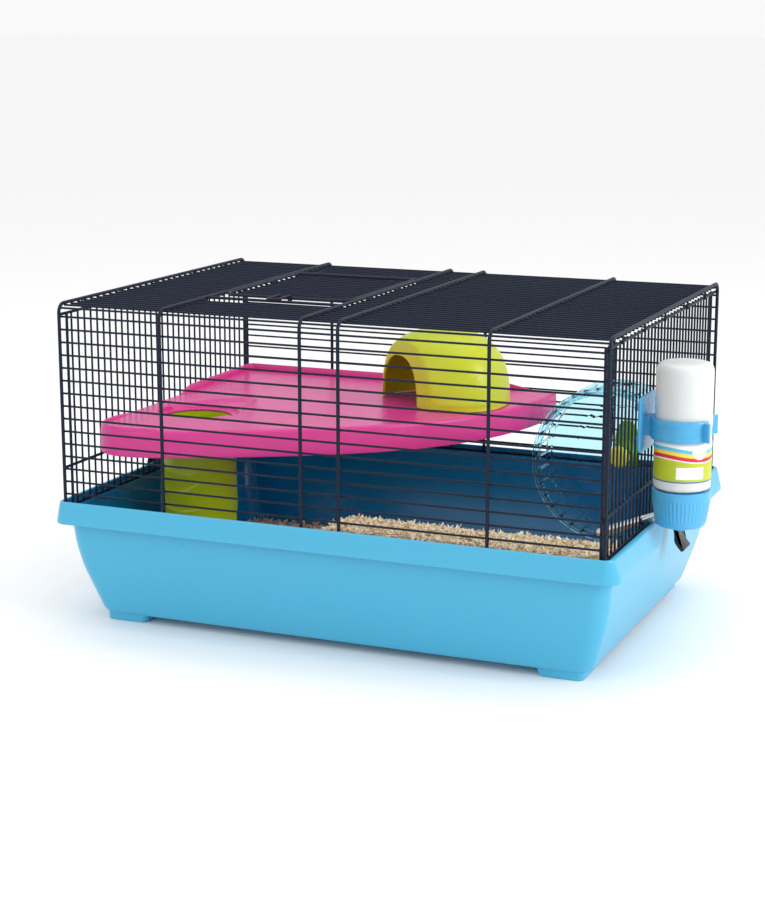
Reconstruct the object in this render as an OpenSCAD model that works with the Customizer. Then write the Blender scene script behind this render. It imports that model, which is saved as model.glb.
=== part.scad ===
// Wire hamster cage on a plastic tray, with deck, house, wheel and water bottle.
// The origin is on the floor, under the middle of the tray. +X runs to the bottle end, +Y to the back.

/* [Tray] */
// Length of the tray over its skirt
tray_l = 510; // [505:1:515]
// Depth of the tray over its skirt
tray_d = 362; // [357:1:367]
// Height of the rim above the floor
rim_z = 111; // [110:1:112]
// Height of the corner feet
foot_h = 7.5; // [5:0.5:9]

/* [Wire cage] */
// Distance between the middles of the two end hoops
cage_l = 486; // [486:1:488]
// Distance between the front and back legs of a hoop
cage_d = 350; // [350:1:352]
// Height of the middle of the hoops' top wire
cage_z = 284; // [282:1:290]
// Diameter of the hoop wire
hoop_wire = 3; // [2.8:0.1:3.2]
// Diameter of the rails, crossbars and door frame
rail_wire = 2.5; // [2.4:0.1:2.6]
// Diameter of the thin wires
thin_wire = 1.8; // [1.6:0.1:2]
// Spacing of the front and back wires
front_pitch = 11.1; // [11:0.05:11.2]
// Spacing of the top wires
top_pitch = 10.7; // [10.6:0.05:10.8]
// Spacing of the upright wires in the ends
end_pitch = 10.5; // [10.4:0.05:10.6]
// Height of the crossbar that the tray latches turn on
crossbar_z = 142; // [141:1:143]

/* [Top door] */
// Middle of the door's front wire
door_front_y = -68; // [-70:1:-66]
// Middle of the wire that the door hinges on
door_hinge_y = 90; // [89:1:91]

/* [Deck and house] */
// Top surface of the deck
deck_z = 172; // [171:1:173]
// Height of the deck's skirt
deck_skirt = 24; // [20:1:26]
// Middle of the hole in the deck
hole_pos = [-183, -42]; // [-185:1:-181]
// Inner radius of the collar in the hole
collar_r = 35.5; // [34:0.5:37]
// Height of the house
house_h = 68.5; // [60:0.5:75]
// Middle of the house on the deck
house_pos = [8, 85]; // [0:1:90]

/* [Wheel] */
// Outer radius of the wheel
wheel_r = 72.5; // [68:0.5:73]
// Width of the wheel
wheel_w = 48; // [44:1:48]
// Number of rungs in the wheel
wheel_rungs_n = 36; // [24:1:40]

/* [Bottle] */
// Outer radius of the bottle
bottle_r = 23.5; // [23:0.1:23.6]
// Top of the bottle
bottle_top = 249.5; // [240:0.5:255]
// Slope of the drinking spout
spout_tilt = 21.9; // [21:0.1:23]

/* [Hidden] */
$fn = 48;

weld = 0.1;                      // how far welded wires sink into each other
end_x = cage_l / 2;
side_y = cage_d / 2;
hoop_r = hoop_wire / 2;
rail_r = rail_wire / 2;
thin_r = thin_wire / 2;
bend_r = 8;                      // middle radius of the hoops' bends
hoop_x = [-end_x, -146, -17, 17, 146, end_x];
running_gap = 0.06;              // radial play where something turns on a wire or pin

// Thin wires lie on the inside of the hoops
front_y = side_y - hoop_r - thin_r + weld;
top_wire_z = cage_z - hoop_r - thin_r + weld;
wire_half_l = end_x + 1;
corner_in = (bend_r - hoop_r - thin_r + weld) * sqrt(0.5);
corner_y = side_y - bend_r + corner_in;
corner_z = cage_z - bend_r + corner_in;
front_z = [for (i = [1:15]) cage_z - 0.1 - i * front_pitch];
top_y = [for (i = [0:31]) -164.4 + i * top_pitch];
door_bay = [hoop_x[1] + 1, hoop_x[2] - 1];
strip_edge_y = -88;              // wires in front of this belong to the fixed front strip
behind_door_y = 92;              // and those behind this to the fixed back part

// End panels: rails outside, upright wires inside
rail_x = end_x - hoop_r - rail_r + 0.15;
upright_x = rail_x - rail_r - thin_r + 0.15;
base_z = 107.2;
top_rail_z = cage_z - 8.5;
upright_y = [for (i = [0:15]) for (s = [-1, 1]) s * (i + 0.5) * end_pitch];

// ---------- helpers ----------

// Points of a rounded rectangle at height z: half length a, half depth b, corner radius r
function ring(a, b, r, z, n = 7) = [for (q = [0:3]) for (i = [0:n])
    let (t = 90 * (q + i / n),
         cx = (q == 0 || q == 3) ? a - r : r - a,
         cy = q < 2 ? b - r : r - b)
    [cx + r * cos(t), cy + r * sin(t), z]];

// Closed solid through rings that have the same number of points
module loft(rings) {
    n = len(rings[0]);
    m = len(rings);
    polyhedron(
        points = [for (r = rings) for (p = r) p],
        faces = concat(
            [[for (i = [0:n - 1]) i]],
            [for (k = [0:m - 2]) for (i = [0:n - 1]) let (j = (i + 1) % n)
                each [[k * n + i, (k + 1) * n + i, (k + 1) * n + j],
                      [k * n + i, (k + 1) * n + j, k * n + j]]],
            [[for (i = [n - 1:-1:0]) (m - 1) * n + i]]));
}

module wire_x(x0, x1, y, z, r) { translate([x0, y, z]) rotate([0, 90, 0]) cylinder(h = x1 - x0, r = r); }
module wire_y(x, y0, y1, z, r) { translate([x, y0, z]) rotate([-90, 0, 0]) cylinder(h = y1 - y0, r = r); }
module wire_z(x, y, z0, z1, r) { translate([x, y, z0]) cylinder(h = z1 - z0, r = r); }

function bezier(p, t) = pow(1 - t, 3) * p[0] + 3 * pow(1 - t, 2) * t * p[1]
    + 3 * (1 - t) * t * t * p[2] + t * t * t * p[3];

// ---------- tray and bedding ----------

module foot(sx, sy) {
    // A low block under each corner, its outer ends nearly upright
    translate([sx * 199.5, sy * 129.3, 0])
        loft([[for (p = ring(19.2, 20.4, 5.5, 0)) p + [sx * 1.2, sy * 0.4, 0]],
              ring(20.7, 21, 5.5, foot_h + 1)]);
}

module tray() {
    l = tray_l / 2;
    d = tray_d / 2;
    b = foot_h;
    color("deepskyblue") union() {
        loft([
            ring(l - 30.5, d - 29, 14, b), ring(l - 28, d - 27.3, 15, b + 3),
            ring(l - 22.3, d - 22.3, 15, 28), ring(l - 15.5, d - 15.5, 15, 50),
            ring(l - 11.3, d - 11.3, 15, 72), ring(l - 10, d - 10, 15, 88), ring(l - 9.8, d - 9.8, 15, 100),
            ring(l - 2.5, d - 2.5, 12, 91.5), ring(l, d, 14, 91.5), ring(l - 0.3, d - 0.1, 13.5, 94),
            ring(l - 5, d - 2.2, 7.5, rim_z - 1), ring(l - 6, d - 2.8, 7, rim_z),
            ring(l - 8.8, d - 3.9, 4.6, rim_z), ring(l - 9, d - 4.1, 4.4, 105.6),
            ring(l - 16.5, d - 13.3, 12, 105.6), ring(l - 16.3, d - 13.1, 12, 103.5),
            ring(l - 13, d - 12.8, 13, 98), ring(l - 12.8, d - 12.8, 13, 88),
            ring(l - 14, d - 14, 13, 72), ring(l - 18.2, d - 18.2, 13, 50),
            ring(l - 25, d - 25, 13, 28), ring(l - 32, d - 30.5, 13, 12),
            ring(l - 36, d - 34, 11, 10.2)]);
        for (sx = [-1, 1]) for (sy = [-1, 1]) foot(sx, sy);
    }
}

// Height of the bedding: a thin layer, heaped along the front from the middle to the right
function smooth(a, b, t) = let (u = min(1, max(0, (t - a) / (b - a)))) u * u * (3 - 2 * u);
function bed_z(x, y) = 20 + 87 * smooth(-100, 10, x) * smooth(40, -135, y);
module bedding() {
    // Outline on the floor; the heap spreads out from it with the tray's wall as it gets higher
    core = [tray_l / 2 - 44, tray_d / 2 - 43];
    core_r = 6;
    corners = ring(core[0], core[1], core_r, 10.4, 4);
    wall = [for (i = [0:len(corners) - 1])
        let (a = corners[i], b = corners[(i + 1) % len(corners)], m = max(1, round(norm(b - a) / 24)))
        for (j = [0:m - 1]) a + (b - a) * j / m];
    function clamp(v, c) = max(-c, min(c, v));
    function outward(p) =
        let (q = [p[0] - clamp(p[0], core[0] - core_r), p[1] - clamp(p[1], core[1] - core_r)])
        q / norm(q);
    function spread(z) = lookup(z, [[10.4, 0], [12, 9.5], [20, 13.5], [28, 17], [50, 24], [72, 27.5],
        [94, 27], [107, 25.5]]);
    function on_top(k) = [for (p = wall)
        let (x = p[0] * k, y = p[1] * k, z = bed_z(x, y), out = k > 0.99 ? spread(z) * outward(p) : [0, 0])
        [x + out[0], y + out[1], z]];
    shares = [1, 0.93, 0.82, 0.68, 0.52, 0.35, 0.18, 0.04];
    color("burlywood") loft(concat([wall], [for (k = shares) on_top(k)]));
}

// ---------- wire cage ----------

module hoop(x) {
    leg_top = cage_z - bend_r;
    run = side_y - bend_r;
    color("midnightblue") union() {
        for (s = [-1, 1]) {
            wire_z(x, s * side_y, base_z - 0.7, leg_top, hoop_r);
            translate([x, s * run, leg_top]) rotate([90, 0, s > 0 ? 90 : -90])
                rotate_extrude(angle = 90) translate([bend_r, 0]) circle(r = hoop_r);
        }
        wire_y(x, -run, run, cage_z, hoop_r);
    }
}
module hoop_1() { hoop(hoop_x[0]); }
module hoop_2() { hoop(hoop_x[1]); }
module hoop_3() { hoop(hoop_x[2]); }
module hoop_4() { hoop(hoop_x[3]); }
module hoop_5() { hoop(hoop_x[4]); }
module hoop_6() { hoop(hoop_x[5]); }

module base_rails() {
    half = rail_x - rail_r + weld;
    color("midnightblue") for (s = [-1, 1])
        wire_x(-half, half, s * (side_y - hoop_r - rail_r + weld), base_z, rail_r);
}

module face_wires(s) {
    color("darkslateblue") {
        wire_x(-wire_half_l, wire_half_l, s * corner_y, corner_z, thin_r);
        for (z = front_z) wire_x(-wire_half_l, wire_half_l, s * front_y, z, thin_r);
    }
}
module front_wires() { face_wires(-1); }
module back_wires() { face_wires(1); }

module top_wires() {
    color("darkslateblue") {
        for (y = top_y)
            if (y > strip_edge_y - 2 && y < behind_door_y) {
                wire_x(-wire_half_l, door_bay[0], y, top_wire_z, thin_r);
                wire_x(door_bay[1], wire_half_l, y, top_wire_z, thin_r);
            } else wire_x(-wire_half_l, wire_half_l, y, top_wire_z, thin_r);
        // edge of the fixed front strip, and the wire that the door hinges on
        wire_x(door_bay[0], door_bay[1], -90, cage_z, rail_r);
        wire_x(door_bay[0], door_bay[1], door_hinge_y, cage_z, rail_r);
    }
}

module end_wires(s) {
    color("darkslateblue") {
        for (y = upright_y) wire_z(s * upright_x, y, base_z - 1, top_rail_z + 1.2, thin_r);
        for (t = [-1, 1]) wire_z(s * upright_x, t * 170.2, base_z - 1, top_rail_z + 1.2, rail_r);
    }
}
module left_end_wires() { end_wires(-1); }
module right_end_wires() { end_wires(1); }

tie_y = [for (j = [2, 8, 14, 21, 27]) top_y[0] + (j + 0.5) * top_pitch];
module end_rails(s) {
    color("midnightblue") {
        for (z = [crossbar_z, top_rail_z]) wire_y(s * rail_x, -side_y - 3, side_y + 3, z, rail_r);
        wire_y(s * rail_x, -side_y + 1, side_y - 1, base_z, rail_r);
        // short ties from the top rail up to the end hoop
        for (y = tie_y)
            wire_z(s * (rail_x + rail_r + 0.75), y, top_rail_z - 1, cage_z - hoop_r + weld, thin_r);
    }
}
module left_end_rails() { end_rails(-1); }
module right_end_rails() { end_rails(1); }

// ---------- top door ----------

door_x0 = hoop_x[1] + 5;
door_x1 = hoop_x[2] - 5;
door_back_y = door_hinge_y - 3.7;
door_corner = 16;
module door_frame() {
    // Rounded front corners and square back ones
    color("midnightblue") union() {
        wire_x(door_x0 + door_corner, door_x1 - door_corner, door_front_y, cage_z, rail_r);
        for (s = [0, 1]) {
            x = s ? door_x1 : door_x0;
            wire_y(x, door_front_y + door_corner, door_back_y, cage_z, rail_r);
            translate([s ? x - door_corner : x + door_corner, door_front_y + door_corner, cage_z])
                rotate([0, 0, s ? -90 : 180]) rotate_extrude(angle = 90)
                    translate([door_corner, 0]) circle(r = rail_r);
        }
        wire_x(door_x0 - rail_r, door_x1 + rail_r, door_back_y, cage_z, rail_r);
    }
}
module door_wires() {
    color("darkslateblue") for (y = top_y)
        if (y > door_front_y + 5 && y < door_back_y - 2)
            wire_x(door_x0 - 0.8 + inset(y), door_x1 + 0.8 - inset(y), y, top_wire_z + 0.15, thin_r);
}
// How far a rounded front corner pulls a door wire's end in
function inset(y) = let (t = door_corner - (y - door_front_y))
    t > 0 ? door_corner - sqrt(door_corner * door_corner - t * t) : 0;

module eye(x, y, z, r, l) {
    translate([x - l / 2, y, z]) rotate([0, 90, 0]) difference() {
        cylinder(h = l, r = r);
        translate([0, 0, -1]) cylinder(h = l + 2, r = rail_r + running_gap);
    }
}
hinge_x = [-118, -45];
module door_hinge_loops() {
    color("midnightblue") for (x = hinge_x) eye(x, door_hinge_y, cage_z, 2.3, 6);
}
latch_x = -81;
latch_half = 5;
latch_reach = 28;
module door_latch_loop() {
    // Rests on the edge wire of the fixed strip in front of the door
    r = 1;
    z = cage_z + rail_r + r + 0.1;
    bend_y = door_front_y - latch_reach + latch_half;
    color("midnightblue") union() {
        for (s = [-1, 1]) {
            eye(latch_x + s * latch_half, door_front_y, cage_z, 2.4, 3);
            wire_y(latch_x + s * latch_half, bend_y, door_front_y - 0.6, z, r);
        }
        translate([latch_x, bend_y, z]) rotate([0, 0, 180])
            rotate_extrude(angle = 180) translate([latch_half, 0]) circle(r = r);
    }
}

// ---------- deck ----------

deck_left = -236.4;
deck_back = 170.8;
deck_edge = concat(
    [[deck_left, deck_back]],
    [for (i = [0:6]) bezier([[deck_left, -114], [deck_left, -134], [-222, -146], [-203, -146]], i / 6)],
    [for (i = [1:5]) bezier([[-203, -146], [-185, -146], [-158, -137], [-127, -120.5]], i / 5)],
    [for (i = [1:16]) bezier([[-127, -120.5], [-20, -62], [88, -5], [91.5, deck_back]], i / 16)]);
module deck() {
    wall = 2.2;
    color("hotpink") union() {
        difference() {
            translate([0, 0, deck_z - deck_skirt]) linear_extrude(deck_skirt) polygon(deck_edge);
            translate([0, 0, deck_z - deck_skirt - 1]) linear_extrude(deck_skirt + 1 - wall)
                offset(delta = -wall) polygon(deck_edge);
            translate([hole_pos[0], hole_pos[1], deck_z - 5]) cylinder(h = 10, r = collar_r + 1);
        }
        // recessed collar that the climbing tube fits under
        translate([hole_pos[0], hole_pos[1], 0]) difference() {
            translate([0, 0, deck_z - 7]) cylinder(h = 7, r = collar_r + 2.2);
            translate([0, 0, deck_z - 5]) cylinder(h = 20, r = collar_r);
            translate([0, 0, deck_z - 10]) cylinder(h = 10, r = collar_r - 4.3);
        }
        // raised border along the wires
        translate([deck_left, deck_back - 2.5, deck_z - 0.5]) cube([322, 2.5, 6.5]);
        translate([deck_left, 10, deck_z - 0.5]) cube([2.5, deck_back - 10, 6.5]);
        // hooks that reach through the back wires and hold behind one of them
        for (x = [-195, -95, 50]) {
            translate([x - 4, deck_back - 2, 164]) cube([8, 6, 6]);
            translate([x - 4, deck_back + 3.2, 157.5]) cube([8, 1.8, 12.5]);
        }
    }
}

tube_top = deck_z - 7.3;
tube_foot = 44;
tube_foot_r = 36.5;
tube_top_r = 33.5;
arch_r = 24;
module climbing_tube() {
    h = tube_top - tube_foot;
    wall = 2.2;
    color("yellowgreen") translate([hole_pos[0], hole_pos[1], tube_foot]) difference() {
        cylinder(h = h, r1 = tube_foot_r, r2 = tube_top_r);
        translate([0, 0, -0.01]) cylinder(h = h + 0.02, r1 = tube_foot_r - wall, r2 = tube_top_r - wall);
        // arched way in, on the side towards the back right
        rotate([0, 0, 50]) translate([20, 0, arch_r]) rotate([0, 90, 0]) cylinder(h = 40, r = arch_r);
        rotate([0, 0, 50]) translate([20, -arch_r, -5]) cube([40, 2 * arch_r, arch_r + 5]);
    }
}

// ---------- house ----------

house_a = 61.5;
house_b = 50.5;
house_power = 2.6;
function sgn_pow(v, p) = sign(v) * pow(abs(v), p);
// Ring of a rounded dome at a fraction t of the way from its foot to its top
function dome_ring(a, b, h, t, n = 48) =
    let (z = sin(90 * t), k = pow(1 - pow(z, house_power), 1 / house_power))
    [for (i = [0:n - 1]) let (w = 360 * i / n)
        [a * k * sgn_pow(cos(w), 2 / house_power), b * k * sgn_pow(sin(w), 2 / house_power), h * z]];
dome_steps = [0.08, 0.18, 0.3, 0.42, 0.54, 0.65, 0.75, 0.84, 0.91, 0.96, 0.985];
module dome(a, b, h, drop) {
    loft(concat([[for (p = dome_ring(a, b, h, 0)) [p[0], p[1], -drop]]],
        [for (t = dome_steps) dome_ring(a, b, h, t)]));
}
front_turn = 234.2;              // the house's flat front faces the front left
front_from = 37.2;               // from the middle of the house
doorway_y = -16.9;               // the doorway is off to one side of the flat front
doorway_half_w = 30;
doorway_h = 44;
doorway_power = 2.4;
// Everything up to a plane at distance x in front of the middle of the house
module behind_front(x) { rotate([0, 0, front_turn]) translate([x - 160, -100, -5]) cube([160, 200, 90]); }
module house() {
    wall = 2.2;
    doorway = concat([[doorway_half_w, -5]],
        [for (i = [0:20]) let (a = 9 * i)
            [doorway_half_w * sgn_pow(cos(a), 2 / doorway_power),
             doorway_h * sgn_pow(sin(a), 2 / doorway_power)]],
        [[-doorway_half_w, -5]]);
    color("khaki") translate([house_pos[0], house_pos[1], deck_z + 0.1]) difference() {
        intersection() {
            dome(house_a, house_b, house_h, 0);
            behind_front(front_from);
        }
        intersection() {
            dome(house_a - wall, house_b - wall, house_h - wall, 1);
            behind_front(front_from - wall);
        }
        rotate([0, 0, front_turn]) translate([front_from - 12, doorway_y, 0]) rotate([90, 0, 90])
            linear_extrude(20) polygon(doorway);
    }
}

// ---------- wheel ----------

wheel_pos = [163, 120];          // X and Z of the wheel's axle
wheel_back = 151;                // Y of the disc's back face
module wheel_tube(y, h, r1, r2) {
    translate([wheel_pos[0], y, wheel_pos[1]]) rotate([-90, 0, 0]) difference() {
        cylinder(h = h, r = r1);
        translate([0, 0, -1]) cylinder(h = h + 2, r = r2);
    }
}
axle_r = 3;
module wheel_ring() { color("lightblue") wheel_tube(wheel_back - wheel_w, 4, wheel_r, wheel_r - 7); }
module wheel_disc() {
    color("lightblue") union() {
        wheel_tube(wheel_back - 2.4, 2.4, wheel_r, 8);
        wheel_tube(wheel_back - 8, 8, 9, axle_r + running_gap);
        wheel_tube(wheel_back - 6, 4, wheel_r, wheel_r - 5);
    }
}
module wheel_rungs() {
    r = wheel_r - 2.5;
    color("lightblue") for (i = [0:wheel_rungs_n - 1]) let (a = 360 * i / wheel_rungs_n)
        wire_y(wheel_pos[0] + r * cos(a), wheel_back - wheel_w + 3.5, wheel_back - 5.5,
               wheel_pos[1] + r * sin(a), 1.5);
}
module wheel_hub_cap() {
    color("gold") translate([wheel_pos[0], wheel_back - 13, wheel_pos[1]])
        rotate([-90, 0, 0]) difference() {
        cylinder(h = 5, r1 = 8.5, r2 = 10.5);
        translate([0, 0, 2]) cylinder(h = 4, r = axle_r + 1.5);
    }
}
module wheel_axle() {
    color("silver") translate([wheel_pos[0], wheel_back - 10, wheel_pos[1]])
        rotate([-90, 0, 0]) cylinder(h = 24, r = axle_r);
}
module wheel_bracket() {
    // A plate in front of the back wires, with a boss round the axle and clips behind two wires
    color("yellowgreen") translate([wheel_pos[0], 0, wheel_pos[1]]) difference() {
        union() {
            translate([-11, 168.4, -13.5]) cube([22, 2.6, 43.5]);
            translate([0, 155, 0]) rotate([-90, 0, 0]) cylinder(h = 14, r = 8);
            for (z = [10.5, -11.5]) {
                translate([-4, 170.5, z]) cube([8, 5.5, 6]);
                translate([-4, 174.1, z]) cube([8, 1.9, 12]);
            }
        }
        translate([0, 150, 0]) rotate([-90, 0, 0]) cylinder(h = 15.1, r = axle_r);
    }
}

// ---------- bottle ----------

bottle_pos = [271.5, -52.5];
cap_top = 143.5;
cap_bottom = 113;
strap_gap = 0.45;
module at_bottle() { translate([bottle_pos[0], bottle_pos[1], 0]) children(); }
module bottle_shell() {
    wall = 1.2;
    r = bottle_r;
    color("white") at_bottle() rotate_extrude() difference() {
        union() {
            translate([0, 152]) square([r, bottle_top - 152 - 8]);
            translate([0, bottle_top - 20]) square([r - 8, 20]);
            translate([r - 8, bottle_top - 8]) circle(r = 8);
            translate([0, 144]) square([r - 8, 10]);
            translate([r - 8, 152]) circle(r = 8);
            translate([0, 121.2]) square([16, 26]);
        }
        translate([0, 152]) square([r - wall, bottle_top - 160]);
        translate([0, 147]) square([r - 8, bottle_top - wall - 147]);
        translate([0, 110]) square([14.6, 40]);
        translate([-40, 100]) square([40, 200]);
    }
}
module bottle_label() {
    color("greenyellow") at_bottle() rotate([0, 0, -160]) rotate_extrude(angle = 300)
        translate([bottle_r + 0.02, 153]) square([0.25, 31]);
}
module bottle_cap() {
    color("deepskyblue") difference() {
        at_bottle() rotate_extrude() polygon([[0, cap_bottom], [19.5, cap_bottom], [21, 116], [24, 136],
            [24, cap_top], [16.8, cap_top], [16.8, 118], [0, 118]]);
        spout_line(spout_end + 3) cylinder(h = 20, r = 2.4);
    }
}
module cap_seal() {
    color("dimgray") at_bottle() rotate_extrude() translate([11, 118]) square([5.4, 3]);
}

// The spout's line: from its tip at [0, 0, 0] up along local +Z into the cap
spout_tip = [201, -52.5, 97.8];
spout_r = 3.8;
spout_end = 54.5;
spout_dir = [cos(spout_tilt), 0, sin(spout_tilt)];
module spout_line(along) {
    translate(spout_tip + along * spout_dir) rotate([0, 90 - spout_tilt, 0]) children();
}
bore_r = 3.05;
lip_r = 2.5;
lip_l = 0.6;
ball_r = 2.95;
ball_at = lip_l + sqrt(ball_r * ball_r - lip_r * lip_r) + 0.05;
module spout_tube() {
    color("silver") spout_line(0) difference() {
        cylinder(h = spout_end, r = spout_r);
        translate([0, 0, lip_l]) cylinder(h = spout_end, r = bore_r);
        translate([0, 0, -1]) cylinder(h = 3, r = lip_r);
    }
}
module spout_ball() { color("silver") spout_line(ball_at) sphere(r = ball_r); }

strap_z = 186;
strap_h = 18;
module bottle_holder() {
    inner = bottle_r + strap_gap;
    plate_x = upright_x + thin_r + 0.1;
    color("deepskyblue") union() {
        translate([plate_x, -77, 174]) cube([2.4, 49, 47]);
        translate([plate_x + 1, bottle_pos[1] - 9, strap_z + 1]) cube([7.2, 18, strap_h - 2]);
        at_bottle() translate([0, 0, strap_z]) rotate([0, 0, 38]) rotate_extrude(angle = 294)
            translate([inner, 0]) square([2.6, strap_h]);
        // flared ends of the strap
        for (a = [39, -29]) at_bottle() rotate([0, 0, a])
            translate([inner + 0.4, -1.3, strap_z + 0.7]) cube([6.1, 2.6, strap_h - 1.4]);
        // clips round two upright wires
        for (y = [-66.5, -45]) for (z = [180, 208]) {
            translate([plate_x - 4.3, y, z]) cube([5, 5, 7]);
            translate([plate_x - 4.5, y - 4.5, z + 0.5]) cube([1.8, 8.5, 6]);
        }
    }
}

// ---------- tray latches ----------

latch_w = 22;
// Side view of the lever: X out from the cage, Z up
lever_in = [[244.6, 142.8], [244.6, 122], [250.8, 112.5], [256.2, 92.5], [256.2, 86], [258.6, 82],
            [263, 77]];
lever_out = [[266, 79.5], [261.7, 84.5], [259.5, 90], [259.5, 93], [254.1, 113.6], [248, 122.8],
             [248, 142.8]];
module lever() {
    difference() {
        union() {
            translate([0, latch_w / 2, 0]) rotate([90, 0, 0])
                linear_extrude(latch_w) polygon(concat(lever_in, lever_out));
            translate([rail_x, 3.7, crossbar_z]) rotate([90, 0, 0]) cylinder(h = 7.4, r = 3.4);
            translate([rail_x, -3.7, crossbar_z - 2.6]) cube([5, 7.4, 5.2]);
        }
        translate([rail_x, 10, crossbar_z]) rotate([90, 0, 0]) cylinder(h = 20, r = rail_r + running_gap);
    }
}
module pad() {
    // Grip insert on the lever's upper face
    translate([248, -7.5, 123.5]) cube([1.4, 15, 18]);
}
module left_latch_lever() { color("black") mirror([1, 0, 0]) lever(); }
module left_latch_pad() { color("lightgray") mirror([1, 0, 0]) pad(); }
module right_latch_lever() { color("black") lever(); }
module right_latch_pad() { color("lightgray") pad(); }

tray();
bedding();
hoop_1();
hoop_2();
hoop_3();
hoop_4();
hoop_5();
hoop_6();
base_rails();
front_wires();
back_wires();
top_wires();
left_end_wires();
left_end_rails();
right_end_wires();
right_end_rails();
door_frame();
door_wires();
door_hinge_loops();
door_latch_loop();
deck();
climbing_tube();
house();
wheel_bracket();
wheel_axle();
wheel_ring();
wheel_rungs();
wheel_disc();
wheel_hub_cap();
bottle_holder();
bottle_cap();
cap_seal();
spout_tube();
spout_ball();
bottle_shell();
bottle_label();
left_latch_lever();
left_latch_pad();
right_latch_lever();
right_latch_pad();
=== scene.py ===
import math
import bmesh
import bpy
import numpy as np
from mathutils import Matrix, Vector


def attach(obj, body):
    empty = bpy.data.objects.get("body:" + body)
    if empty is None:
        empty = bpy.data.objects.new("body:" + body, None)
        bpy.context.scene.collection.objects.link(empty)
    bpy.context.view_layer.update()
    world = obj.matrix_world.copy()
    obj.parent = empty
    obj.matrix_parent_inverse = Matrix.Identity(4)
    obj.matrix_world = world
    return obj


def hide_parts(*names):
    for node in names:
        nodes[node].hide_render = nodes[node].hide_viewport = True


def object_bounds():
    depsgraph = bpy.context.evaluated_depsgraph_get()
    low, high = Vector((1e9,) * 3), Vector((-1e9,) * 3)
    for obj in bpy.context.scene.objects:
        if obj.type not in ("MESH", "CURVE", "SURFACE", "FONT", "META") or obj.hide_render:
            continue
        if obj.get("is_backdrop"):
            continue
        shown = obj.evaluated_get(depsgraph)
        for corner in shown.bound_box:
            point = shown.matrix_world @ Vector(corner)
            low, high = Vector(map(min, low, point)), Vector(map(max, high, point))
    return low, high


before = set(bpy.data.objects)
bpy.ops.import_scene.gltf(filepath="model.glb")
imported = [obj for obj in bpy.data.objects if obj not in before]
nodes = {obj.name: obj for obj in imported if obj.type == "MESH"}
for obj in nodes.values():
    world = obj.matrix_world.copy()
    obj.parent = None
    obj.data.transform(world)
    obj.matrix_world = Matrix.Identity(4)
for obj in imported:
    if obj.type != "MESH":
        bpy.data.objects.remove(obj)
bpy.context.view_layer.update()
mm = 0.001
print("stage: frame loaded, with", len(nodes), "nodes")


# Quads between neighbouring points of a rows x cols grid; a closed direction wraps round.
def gridQuads(rows, cols, closeRows=False, closeCols=False, first=0):
    r, c = np.meshgrid(np.arange(rows - (not closeRows)), np.arange(cols - (not closeCols)), indexing="ij")
    r1, c1 = (r + 1) % rows, (c + 1) % cols
    return first + np.stack([r * cols + c, r * cols + c1, r1 * cols + c1, r1 * cols + c], -1).reshape(-1, 4)


# A stack of closed rings as one closed shape, with a flat face over each end.
def capped(rings):
    n, m = rings.shape[:2]
    return rings.reshape(-1, 3), [gridQuads(n, m, closeCols=True), np.arange(m)[None],
                                  (np.arange(m) + (n - 1) * m)[None]]


# A mesh object from points in millimetres and arrays of polygons; smooth, with edges over the angle kept
# sharp.
def makePiece(name, points, polygons, sharpDegrees=38, merge=True):
    mesh = bpy.data.meshes.new(name)
    loops = np.concatenate([p.reshape(-1) for p in polygons]).astype(np.int32)
    sizes = np.concatenate([np.full(len(p), p.shape[1]) for p in polygons])
    starts = np.concatenate([[0], np.cumsum(sizes)[:-1]]).astype(np.int32)
    mesh.vertices.add(len(points))
    mesh.vertices.foreach_set("co", (np.asarray(points, np.float64) * mm).astype(np.float32).ravel())
    mesh.loops.add(len(loops))
    mesh.loops.foreach_set("vertex_index", loops)
    mesh.polygons.add(len(sizes))
    mesh.polygons.foreach_set("loop_start", starts)
    mesh.update(calc_edges=True)
    mesh.validate()
    if merge:
        settleMesh(mesh)
    mesh.shade_smooth()
    mesh.set_sharp_from_angle(angle=math.radians(sharpDegrees))
    piece = bpy.data.objects.new(name, mesh)
    bpy.context.scene.collection.objects.link(piece)
    return piece


# Closes seams and poles, and turns every face outwards.
def settleMesh(mesh, distance=2e-6):
    work = bmesh.new()
    work.from_mesh(mesh)
    bmesh.ops.remove_doubles(work, verts=work.verts, dist=distance)
    bmesh.ops.dissolve_degenerate(work, edges=work.edges, dist=1e-7)
    bmesh.ops.recalc_face_normals(work, faces=work.faces)
    work.to_mesh(mesh)
    work.free()


# Several (points, polygons) parts as one.
def joinParts(parts):
    points, polygons, first = [], [], 0
    for partPoints, partPolygons in parts:
        points.append(np.asarray(partPoints).reshape(-1, 3))
        polygons += [p + first for p in partPolygons]
        first += len(points[-1])
    return np.concatenate(points), polygons


# Rounds the corners of a path in any number of dimensions: each corner becomes a parabola
# that leaves the sides at a given distance from it.
def filletPath(points, radii, steps=4, closed=False):
    pts = np.asarray(points, float)
    radii = np.broadcast_to(np.asarray(radii, float), len(pts))
    out = []
    for i, p in enumerate(pts):
        if not closed and i in (0, len(pts) - 1) or radii[i] <= 0:
            out.append(p[None])
            continue
        a, b = pts[i - 1] - p, pts[(i + 1) % len(pts)] - p
        la, lb = np.linalg.norm(a[[0, -1]]), np.linalg.norm(b[[0, -1]])
        cut = min(radii[i], 0.49 * la, 0.49 * lb)
        s, e = p + a * cut / max(la, 1e-9), p + b * cut / max(lb, 1e-9)
        t = np.linspace(0, 1, steps + 1)[:, None]
        out.append((1 - t) ** 2 * s + 2 * t * (1 - t) * p + t ** 2 * e)
    return np.concatenate(out)


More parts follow.
